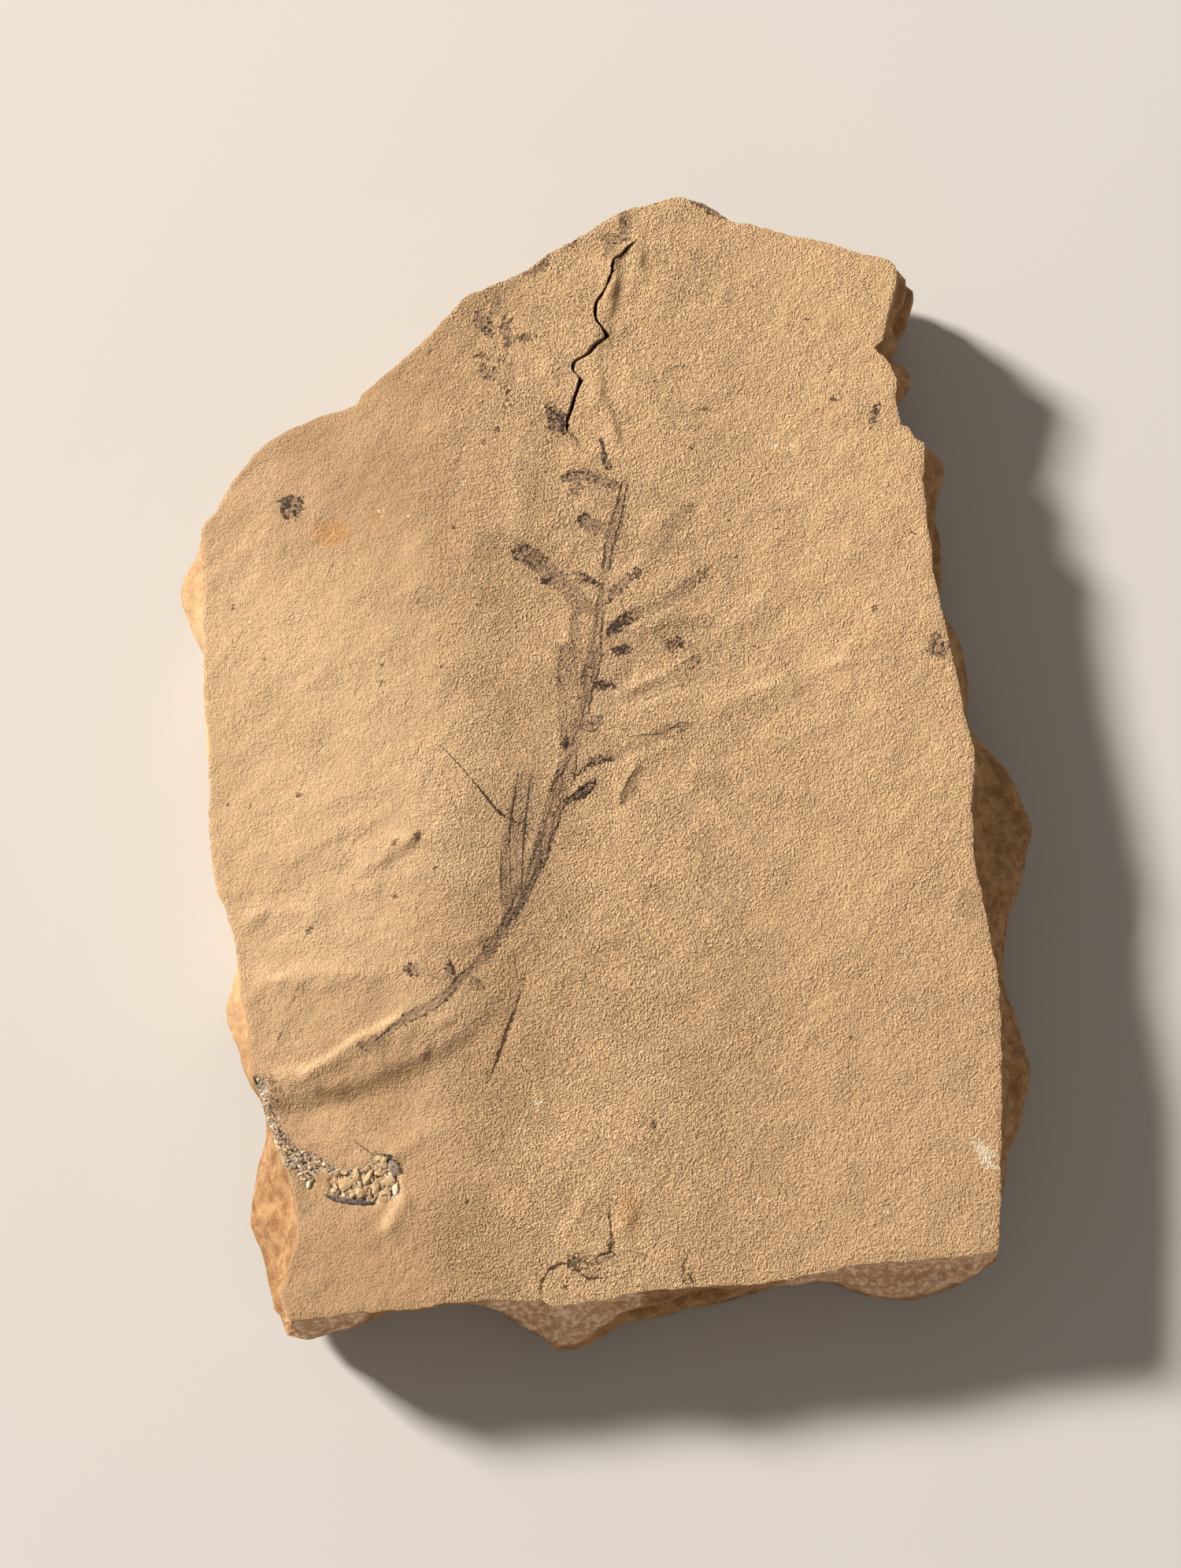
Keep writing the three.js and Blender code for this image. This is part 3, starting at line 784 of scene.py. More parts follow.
    def outward(self, loop: Array) -> Array:
        """Outward directions of a loop, square to the line from before each point to after it."""
        closed = np.vstack([loop, loop[:1]])
        at = np.concatenate([[0], np.cumsum(np.hypot(*np.diff(closed, axis=0).T))])
        total = at[-1]
        ahead, behind = ((at[:-1] + step) % total for step in (self.normal_reach, -self.normal_reach))
        run = np.stack([np.interp(ahead, at, part) - np.interp(behind, at, part) for part in closed.T], -1)
        run /= np.hypot(*run.T)[:, None]
        return np.stack([run[:, 1], -run[:, 0]], -1)

    def left_edge_by_height(self) -> tuple[Array, Array]:
        """The left edge's heights, rising, and its x at each."""
        edge = np.asarray(self.left_edge)
        order = np.argsort(edge[:, 1])
        return edge[order, 1], edge[order, 0]

    def pit(self, x: Array, y: Array) -> Array:
        """Signed distance to the outline of the crushed shell, negative inside it."""
        ragged = 0.1 * noise(x / 0.4, y / 0.4, seed=35) + 0.06 * noise(x / 0.17, y / 0.17, seed=36)
        edges = [inside_polygon(outline, x, y) for outline in self.pit_outlines]
        return np.min(edges, axis=0) + ragged


# ---- What the twig left ----


@dataclass(frozen=True)
class Blade:
    """One flattened leaf: its middle line from the stem outwards and its widest width, in mm.

    `carbon` is the share of black specks at the base, the middle and the tip, and `blunt` is the power of
    the curve that rounds off its ends.
    """

    line: Line
    width: float
    carbon: Triple
    blunt: float = 4.0


@dataclass(frozen=True)
class Patch:
    """A scrap of film: its outline, its share of black specks and how far its edge strays, in mm."""

    outline: Line
    carbon: float
    ragged: float = 0.0


@dataclass
class Twig:
    """The flattened twig and the other scraps of plant on the face."""

    stem: tuple[Triple, ...] = (  # plan point and half width, from the top down
        (2.75, 24.6, 0.28), (2.25, 22.4, 0.36), (1.75, 20.2, 0.36), (1.35, 18.2, 0.3), (1.1, 16, 0.36),
        (0.8, 13.8, 0.46), (0.6, 11.9, 0.56), (0, 8.9, 0.64), (-0.6, 6, 0.62), (-1.3, 3.2, 0.62),
        (-1.9, 0.9, 0.68), (-2.7, -1.6, 0.68), (-3.6, -4.7, 0.64), (-4.5, -7.4, 0.54), (-5.5, -9.4, 0.46),
        (-6.6, -11.5, 0.4), (-8.2, -13.8, 0.34), (-10, -15.7, 0.34), (-12.1, -17.6, 0.34),
        (-14.4, -18.9, 0.28), (-16.7, -20.7, 0.14),
    )
    blades: tuple[Blade, ...] = table(
        Blade,
        (((2.4, 24.4), (0.6, 25.1), (-0.6, 25.5), (-2.3, 25.2)), 1, (0.65, 0.5, 0.6)),
        (((1.6, 20.8), (0.3, 21.2), (-1.1, 21.9)), 1.15, (0.2, 0.5, 0.85)),
        (((-0.4, 24.2), (-1.1, 24.3), (-1.7, 24)), 0.7, (0.5, 0.5, 0.5)),
        (((0.6, 13.8), (-0.9, 14.9), (-1.8, 16.1), (-3, 17.1), (-4.6, 18.5), (-6.3, 19.2)),
         1.35, (0.25, 0.35, 0.7), 8),
        (((1.2, 15.9), (0, 16.6), (-1.2, 17.3)), 0.6, (0.6, 0.8, 0.5)),
        (((1.3, 14.6), (2.2, 15.8), (4.2, 17.6)), 0.68, (0.75, 0.45, 0.8)),
        (((4.2, 18.3), (5.9, 20.2), (6.7, 21.4), (8.3, 23)), 0.95, (0.03, 0.16, 0.4)),
        (((1.2, 12), (2.2, 12.8), (3.3, 13.6), (4.4, 14.1)), 1.05, (0.95, 0.85, 0.3)),
        (((4, 13.9), (5.3, 14.3), (6.4, 15), (7.5, 15.8), (9.4, 17.4)), 0.85, (0.1, 0.25, 0.5)),
        (((3.2, 11.2), (5.6, 12.1), (7.3, 12.7), (10, 13.3)), 1, (0.12, 0.14, 0.3)),
        (((1.6, 10.8), (3.5, 10.8)), 0.85, (0.85, 0.9, 0.7)),
        (((3.2, 10.8), (5.4, 10.9), (7.5, 11.5)), 0.95, (0.2, 0.1, 0.95)),
        (((0.2, 7.9), (2.1, 7.9)), 1.05, (0.7, 0.95, 0.5)),
        (((2.4, 7), (3.7, 7), (5.5, 8), (7.4, 9.1), (8.8, 10.1)), 0.9, (0.06, 0.12, 0.5)),
        (((-0.9, 4.4), (1.1, 5.3)), 0.8, (0.55, 0.65, 0.5)),
        (((-1.3, 0.5), (-0.2, 1.5), (2.1, 2.1)), 0.75, (0.6, 0.6, 0.7)),
        (((2.2, 2.2), (4.1, 3.3), (6.1, 4), (8, 4.6)), 0.9, (0.1, 0.12, 0.3)),
        (((-1.8, -1.7), (0.5, 0.05)), 0.75, (0.7, 0.85, 0.8)),
        (((4.2, 1.3), (3.4, -0.4), (2.6, -1.8)), 0.8, (0.12, 0.2, 0.45)),
        (((-0.7, 6), (-1, 10.1), (-1.3, 14.6)), 0.7, (0.2, 0.25, 0.45)),
        (((-1.5, 1.6), (-1.9, 6.2), (-2.05, 11.4)), 1.2, (0.3, 0.22, 0.45)),
        (((-6.6, -11), (-6.4, -7.1), (-6.1, -3.8), (-5.6, -1.3), (-5.3, 0.8)), 0.95, (0.35, 0.14, 0.12), 8),
        (((-5.7, -10.1), (-5.1, -7), (-4.8, -4.6), (-4.5, -1.2), (-4.5, 0.9)), 0.8, (0.3, 0.15, 0.08)),
        (((-11, -15.9), (-11, -14.4)), 0.5, (0.5, 0.6, 0.9)),
        (((-9.6, -15.9), (-8.3, -16.6)), 0.55, (0.5, 0.3, 0.7)),
        (((-8.1, -13.7), (-8.4, -12.8)), 0.4, (0.8, 0.8, 0.9)),
    )
    fibres: tuple[Triple, ...] = (  # place across in half widths, strength and swelling in the core
        (-0.85, 0.9, 0), (-0.4, 0.6, 1), (0.1, 0.8, 0.5), (0.5, 0.6, 0), (0.92, 0.85, 0.35),
    )
    patches: tuple[Patch, ...] = table(
        Patch,
        (((0.9, 13.9), (2, 12.3), (3.6, 12.6), (4.1, 11.3), (3.6, 9.7), (2.9, 7.2), (1.9, 5.7), (0.2, 5.2),
          (-0.4, 8)),
         0.06),
        (((0.2, 4.4), (2.6, 3), (3.4, 2.6), (2.4, 1.8), (0.2, 1.6), (-1.2, 0.6), (-1, 2.6)), 0.04),
        (((-5.9, 0.6), (-6.6, -4), (-6.8, -8), (-6.7, -12), (-5.6, -10.6), (-4.5, -7.8), (-4.4, -4),
          (-4.9, 0.9)),
         0.14),
        (((-0.2, 24.6), (0.3, 23.2), (1.4, 22.4), (1.9, 22.7), (1.7, 24.2)), 0.16),
        (((-4.3, 16.9), (-3, 16.95), (-3.4, 16.2), (-3.9, 16.5)), 1),
        (((-3.6, 31.7), (-2.8, 31.3), (-1.9, 30.7), (-1.9, 29), (-2.5, 29), (-3.4, 29.3)), 0.8),
        (((0.85, 28.7), (1.05, 28), (1.75, 26.3), (1.5, 25.9), (0.95, 26.1)), 0.75),
        (((2.4, 48), (3.1, 48.3), (3.4, 46.8), (3.1, 45.7), (2.1, 45.1), (1.2, 45.2), (1.1, 46.3),
          (2.3, 46.4)),
         0.5),
        (((1.2, 45), (2.1, 45), (2, 44.2), (1.3, 43.9)), 0.45),
        (((-5.6, 43), (-4, 43.9), (-3.4, 44.6), (-3.5, 43.7), (-4.6, 42.9)), 0.45),
        (((-2.1, 45.1), (-1, 45.8), (-1.2, 45.3)), 0.5),
        (((8.1, 49.3), (9.6, 48.9), (11.8, 47.4), (11, 47.5), (9.2, 48.3)), 0.6),
        (((-9.4, 40), (-9, 40.1), (-8.7, 39.3), (-8.1, 38.8), (-7.9, 37.8), (-8.3, 37.5), (-8.9, 38.1),
          (-9.5, 38.8)),
         0.5),
        (((-8.1, 40.5), (-7.6, 41.2), (-7.3, 40.6), (-7.4, 39.7), (-8.1, 39.4)), 0.3, 0.15),
        (((-7.2, 38.5), (-6.7, 38.6), (-6.4, 36.9), (-6.8, 36.6), (-7.2, 37.4)), 0.25, 0.2),
        (((-5.8, 37.6), (-5.1, 37.9), (-4.9, 37.1), (-5.2, 36.8), (-5.6, 37.3)), 0.5, 0.1),
        (((-9.1, 35.3), (-8.6, 35.3), (-8.4, 34.3), (-8.7, 34), (-9, 34.6)), 0.5),
        (((-8.4, 34.8), (-7.8, 34.7), (-7.6, 33.9), (-8.1, 33.9)), 0.35, 0.15),
        (((-7.1, 34.7), (-6.4, 34.8), (-6.3, 33.2), (-7.1, 33.7)), 0.15, 0.25),
        (((0.3, -37.8), (0.7, -37.2), (1.8, -36.95), (1.9, -37.7), (0.7, -37.9)), 0.1),
        (((-25.2, 24), (-23.3, 24), (-23.3, 22.9), (-23.9, 22.1), (-25, 22.4)), 0.8, 0.1),
        (((22.7, 30.2), (23.1, 31.4), (23.4, 31.3), (23.1, 29.7), (22.6, 29.3)), 0.7),
        (((27.2, 11.8), (27.7, 12.1), (28.8, 10.6), (27.9, 10), (26.8, 10.3)), 0.6, 0.1),
        (((-16.5, -29.3), (-15.5, -29.4), (-14.7, -30.4), (-14.6, -30.9), (-15.3, -31), (-15.8, -30.4),
          (-16.3, -30)),
         0.8),
        (((28.9, -9.3), (29.5, -8.7), (30.6, -9.6), (30.9, -11.2), (29.9, -11.3), (29.1, -10.9)), 0),
        (((-2.3, 3.7), (-1.6, 3.8), (-1.7, 2.7), (-2.3, 2.8)), 0.95),
        (((-14.7, -14.6), (-13.6, -14.4), (-13.4, -15.4), (-14.2, -15.4)), 0.6),
        (((-18, -20.9), (-16.4, -20.1), (-16.3, -20.9), (-17.8, -21.8)), 0.3, 0.3),
    )
    nets: tuple[Line, ...] = (
        ((-2.3, -37.9), (-1.9, -37), (-0.7, -37), (0.6, -37.5), (1, -38.3), (0.7, -39.2), (-0.2, -39.2),
         (-1.2, -38.8)),
        ((7.5, -37.3), (7, -38.4), (6.9, -39.7), (8.4, -39.8), (7.9, -38.4)),
        ((-16.2, -30), (-15.4, -29.2), (-14.4, -30.4), (-15.6, -30.9)),
        ((-26.8, -23.6), (-24.9, -22.9), (-23.6, -24.9), (-24.8, -26.2)),
    )
    strokes: tuple[Stroke, ...] = table(
        Stroke,
        (((2.9, -36.1), (3.3, -35.4), (3.7, -34.3), (4.1, -33.3)), 0.1, 0.45),
        (((0.3, -37.8), (0.7, -37.35), (1.2, -37.3), (1.8, -37.1), (1.8, -37.6), (0.8, -37.75)), 0.07, 0.9),
        (((0.4, -37.8), (0, -38.1), (-0.3, -37.8)), 0.09, 0.8),
        (((-1.75, -37.1), (-1.6, -37.8), (-1.65, -38.5)), 0.055, 0.95),
        (((-1.3, -37.2), (-1.3, -37.9), (-1.35, -38.7)), 0.055, 0.95),
        (((-0.9, -37.1), (-0.7, -37.7), (-1, -38.4)), 0.05, 0.9),
        (((-2.2, -37.4), (-1.6, -37.25), (-0.5, -37.1)), 0.05, 0.85),
        (((-2.1, -37.85), (-1.3, -37.8), (-0.4, -37.7)), 0.045, 0.8),
        (((-1.9, -38.3), (-1.2, -38.5), (-0.5, -38.9)), 0.06, 0.9),
        (((-3.8, -38.3), (-3.6, -37.9), (-3.3, -38)), 0.04, 0.6),
        (((-2.9, -38.4), (-3, -39.1), (-3.3, -39.8)), 0.07, 0.6),
        (((1.9, -37.15), (3, -37.05), (3.9, -37.25), (4.6, -37.5), (4.2, -37.85)), 0.06, 0.6),
        (((4.1, -37.8), (3, -38.5), (1.8, -38.9), (0.9, -39.1)), 0.05, 0.5),
        (((0.1, -38.7), (0.2, -38.2), (0.7, -38), (1, -38.4), (0.9, -38.8)), 0.045, 0.5),
        (((3.1, 23.6), (2.75, 22.2), (2.5, 21), (2, 19.7)), 0.05),
        (((2.5, 14.8), (2.7, 14.2), (2.6, 13.8), (2.2, 13.2)), 0.05),
        (((9.2, 17.2), (9.6, 17.6), (9.9, 18.1)), 0.035),
        (((3.6, 6.5), (4.5, 6.7), (5.7, 7.2), (6.9, 7.9)), 0.05, 0.75),
        (((-0.5, 4.3), (0.3, 4.1), (0.9, 4.7)), 0.07),
        (((3.1, 3.7), (4.1, 3.8), (5.7, 3.9), (6.5, 4.4), (7.4, 4.5), (7.9, 4.7)), 0.055),
        (((-2.1, -1.6), (-0.9, -0.7), (0.2, 0.3)), 0.09, 0.9, Layer.HAIR),
        (((-1.4, -1.9), (-0.3, -1), (0.5, -0.2)), 0.08, 0.9), (((4, 1.5), (3.1, 0.2), (2.3, -1.5)), 0.04),
        (((-11.7, 2.9), (-9.9, 0.9), (-8.5, -0.8), (-7.4, -2.2), (-6.7, -2.8), (-5.6, -3.3), (-4.4, -3.9)),
         0.1, 1),
        (((-2.9, 8.5), (-2.6, 8.5), (-2.3, 8)), 0.06),
        (((-5.7, 0.8), (-6, -1.2), (-6.3, -3.4), (-6.4, -5.2)), 0.09, 0.95),
        (((-4.7, 0.8), (-5.1, -2.8), (-5.3, -5), (-5.4, -8.9)), 0.1, 0.95),
        (((-6.3, -5.4), (-6.3, -7.8), (-6.1, -10)), 0.08, 0.85),
        (((-7, -4.4), (-7.05, -7.4), (-6.95, -10.6)), 0.07, 0.85),
        (((-6.4, 20.1), (-5.6, 19.9), (-4.5, 19.3)), 0.05, 0.6),
        (((-10.9, -16.1), (-12.2, -15.6), (-13.6, -15.2)), 0.05, 0.55),
        (((-14.9, -15.6), (-14.3, -16.4), (-13.9, -17.4)), 0.035, 0.5),
        (((-11.1, -14.2), (-10.7, -15), (-10.2, -15.9)), 0.07, 0.8),
        (((-11.6, -14.9), (-10.9, -15.3), (-10.4, -16)), 0.06, 0.8),
        (((-9.6, -15.4), (-8.9, -15.8), (-8.2, -16.5)), 0.06, 0.7),
        (((-8.5, -12.7), (-8.2, -13.6), (-7.6, -13.3)), 0.06, 0.8),
        (((6.2, 34.4), (7, 34.7), (8.1, 34.7)), 0.05, 0.7), (((8.7, 31), (9.8, 31)), 0.12, 0.6),
        (((3.9, 47.3), (4, 46.2)), 0.06, 0.45), (((5.9, 48.4), (5.8, 46.6)), 0.05, 0.4),
        (((7.4, 48), (7.7, 46.9)), 0.06, 0.5),
    )
    scatters: tuple[tuple[float, float, float, float, int], ...] = (  # middle, spreads and number
        (-7, 38.9, 0.3, 0.5, 6), (-5, 37.5, 0.6, 0.35, 9), (-6.75, 35.9, 0.3, 1.2, 12),
        (-6.6, 32.6, 0.3, 0.9, 12), (-8.6, 36, 0.5, 0.3, 7),
    )
    flecks: tuple[Triple, ...] = (  # middle and radius, as of the spots below
        (-23.3, -0.8, 0.38), (-28.8, -1.6, 0.25), (-27, -1.8, 0.25), (22.8, 14.1, 0.3), (15.5, 9.5, 0.22),
        (13, 11, 0.2), (11.8, 18.4, 0.22), (11.2, 21.6, 0.2), (-16.7, 9.8, 0.28), (-16.6, 8.3, 0.34),
        (-12, 9.5, 0.25), (-28.8, 14.8, 0.3), (-13.7, 14.9, 0.22), (-6.6, 10.5, 0.2), (-6.1, 13.1, 0.24),
        (-13.8, -4.3, 0.5), (-15.4, -4.7, 0.35), (-7.5, 29.5, 0.32), (-8.7, 28.5, 0.3), (-14.9, 33.6, 0.25),
        (-13.1, 36.5, 0.22), (8.2, 27.7, 0.26), (19.7, 31.8, 0.28), (4.8, -27.2, 0.38), (-22.1, -11.8, 0.4),
        (-15.4, -9.1, 0.3), (-12.2, -6.7, 0.3), (-23.2, -17.1, 0.25), (-24.3, -20.1, 0.25), (7.4, 7.9, 0.24),
        (12.9, -33.1, 0.2), (-7.9, -23, 0.22), (-6.4, -4.6, 0.18), (-6, -7, 0.2), (25.8, 20.4, 0.22),
        (-2.9, 21.3, 0.2), (5.2, 33.4, 0.22), (15.4, -8.2, 0.18), (20.5, -20.4, 0.2), (-9.6, -33, 0.22),
        (-7, 39.3, 0.3), (-6.6, 38.9, 0.32), (-6.1, 38, 0.2), (-4.5, 37.5, 0.26), (-9.4, 35.9, 0.3),
        (-8.9, 36.1, 0.28),
        (-7.8, 36.7, 0.26), (-6.7, 36, 0.24), (-7.4, 35.3, 0.24), (-6.9, 32.9, 0.24), (-7.7, 29.5, 0.3),
        (-3.7, 41.2, 0.26),
        (-1.8, -39.8, 0.26), (-26.2, 10.4, 0.22), (-20.8, 18, 0.2), (17.6, 38.8, 0.22), (13.4, 41.6, 0.2),
        (-11, 21.4, 0.2),
    )
    pale: tuple[Triple, ...] = (
        (-10.1, 25, 0.28), (-17.1, 22.8, 0.28), (-4, -25.7, 0.42), (2.9, -30, 0.3), (12.9, -33.1, 0.3),
        (29.9, -28.8, 0.7), (30.4, -29.4, 0.85), (30.9, -30, 0.8), (31.3, -30.5, 0.55), (15, 27.9, 0.26),
        (5.6, 10.9, 0.22), (0.4, 15.6, 0.2), (4, 14.4, 0.18), (16.2, 28.1, 0.18), (-14.6, 22.4, 0.2),
    )
    rust: tuple[Triple, ...] = (
        (3.2, -33.4, 0.9), (3.3, -35, 0.8), (-14.6, 22.4, 0.35), (-17.4, 22.3, 0.4), (-21, 21, 1.6),
    )

    # the place down the stem where each change begins, and the length that it takes
    core_starts: Point = (27, 5)
    core_thins: Point = (36, 4)
    core_ends: Point = (45.5, 2.5)
    core_faint: Point = (18, 8)
    stem_pales: Point = (38, 4)

    def specks(self) -> list[Triple]:
        """The single flecks, and those scattered by chance about each place with its spreads and number."""
        pick = np.random.default_rng(5)
        found = list(self.flecks)
        for x, y, wide, tall, count in self.scatters:
            at = pick.normal((x, y), (wide, tall), (count, 2))
            found += [(*spot, size) for spot, size in zip(at, pick.uniform(0.1, 0.3, count))]
        return found

    def middle(self) -> Array:
        """The stem's middle line and half width from its top down, as a fine polyline."""
        return through(self.stem, 6)

    @staticmethod
    def blade_edge(blade: Blade, x: Array, y: Array) -> tuple[Array, Beside, Array]:
        """Where plan points lie against a leaf: a ribbon that rounds off at both ends by a power curve.

        Args:
            blade: The leaf.
            x, y: Plan places in mm.

        Returns:
            The signed distance to its outline, the places against its middle line, and the share along it.
        """
        side = beside(through(blade.line, 5), x, y)
        share = np.clip(side.along / max(side.along.max(), 1e-6), 0, 1)
        half = blade.width / 2 * (1 - np.abs(2 * share - 1) ** blade.blunt) ** 0.5
        half = np.maximum(half, 0.02) * (0.72 + 0.28 * smooth(share * 3))
        return side.distance - half, side, share

    def film(self, side: Beside, half: Array, x: Array, y: Array) -> dict[str, Array]:
        """The film of the stem, leaves and scraps: a point takes the carbon and flow of the nearest.

        Args:
            side: Where the points lie against the stem's middle line.
            half: The stem's half width beside each.
            x, y: Plan places in mm.

        Returns:
            film: signed distance to the film's outline; carbon: share of black in it; flow_along and
            flow_across: places along and across the nearest leaf or stem; flow_which: its number.
        """
        film = side.distance - half
        carbon = 0.27 + 0.2 * noise(side.along / 2.2, seed=42) + 0.12 * begun(side.along, self.core_starts)
        carbon = carbon - 0.1 * begun(side.along, self.stem_pales)
        flow, cross, which = side.along, side.across, np.zeros(x.shape)
        for number, blade in enumerate(self.blades, start=1):
            edge, near, share = self.blade_edge(blade, x, y)
            dark = np.interp(share, [0, 0.5, 1], blade.carbon)
            wins = edge < film
            carbon = np.where((edge < 0) & (film < 0), np.maximum(carbon, dark), np.where(wins, dark, carbon))
            flow = np.where(wins, near.along, flow)
            cross = np.where(wins, near.across, cross)
            which = np.where(wins, number, which)
            film = np.minimum(film, edge)
        for patch in self.patches:
            edge = inside_polygon(patch.outline, x, y) + patch.ragged * noise(x / 0.55, y / 0.55, seed=46)
            both = np.maximum(carbon, patch.carbon)
            carbon = np.where((edge < 0) & (film < 0), both, np.where(edge < film, patch.carbon, carbon))
            film = np.minimum(film, edge)
        return {"film": film, "carbon": carbon, "flow_along": flow, "flow_across": cross, "flow_which": which}

    def stem_fibres(self, side: Beside, half: Array) -> dict[str, Array]:
        """Dark fibres that wander down the stem, and swell where its core is dark.

        Args:
            side: Where the points lie against the stem's middle line.
            half: The stem's half width beside each.

        Returns:
            For each fibre, the signed distance across it and its strength.
        """
        fields = {}
        core = begun(side.along, self.core_starts) * (1 - 0.6 * begun(side.along, self.core_thins))
        core = core * (1 - 0.6 * begun(side.along, self.core_ends))
        core = core + 0.3 * bell((side.along - self.core_faint[0]) / self.core_faint[1])
        for number, (place, dark, swell) in enumerate(self.fibres):
            along = side.along * 0.7
            wander = 0.3 * noise(along, 3.1 * number, seed=43)
            wander = wander + 0.12 * noise(along * 2.7, 3.1 * number, seed=44)
            thick = 1 + swell * core * (1 + 0.8 * noise(side.along / 0.7, 3.7 * number, seed=47))
            fields[f"fibre{number}"] = np.clip((side.across - (place + wander) * half) / thick, -FAR, FAR)
            gate = smooth(noise(along * 0.9, 5.3 * number, seed=45) * 2.2 + 0.85)
            inner = 0 < number < len(self.fibres) - 1
            thin = np.maximum(smooth((half - 0.34) / 0.2), core) if inner else 1.0
            fields[f"fibre{number}_dark"] = dark * thin * np.maximum(gate, core * swell)
        return fields

    def measure(self, x: Array, y: Array) -> dict[str, Array]:
        """Fields of all that the twig left, for the stone's finish to read.

        Args:
            x, y: Plan places in mm.

        Returns:
            The fields of `film` and `stem_fibres`; net: signed distance to the outlines of the nets of
            threads; ink and hair: signed distances across thin dark lines, each with its strength.
        """
        stem = self.middle()
        side = beside(stem, x, y)
        half = np.interp(side.along, np.linspace(0, side.along.max(), len(stem)), stem[:, 2])
        half = half + 0.07 * noise(side.along / 0.8, seed=41)
        fields = self.film(side, half, x, y) | self.stem_fibres(side, half)
        fields["net"] = np.min([inside_polygon(outline, x, y) for outline in self.nets], axis=0)
        for layer in Layer:
            strokes = [stroke for stroke in self.strokes if stroke.layer is layer]
            fields[layer.value], fields[f"{layer.value}_dark"] = nearest_stroke(strokes, x, y)
        return fields


# ---- Building the slab's mesh ----


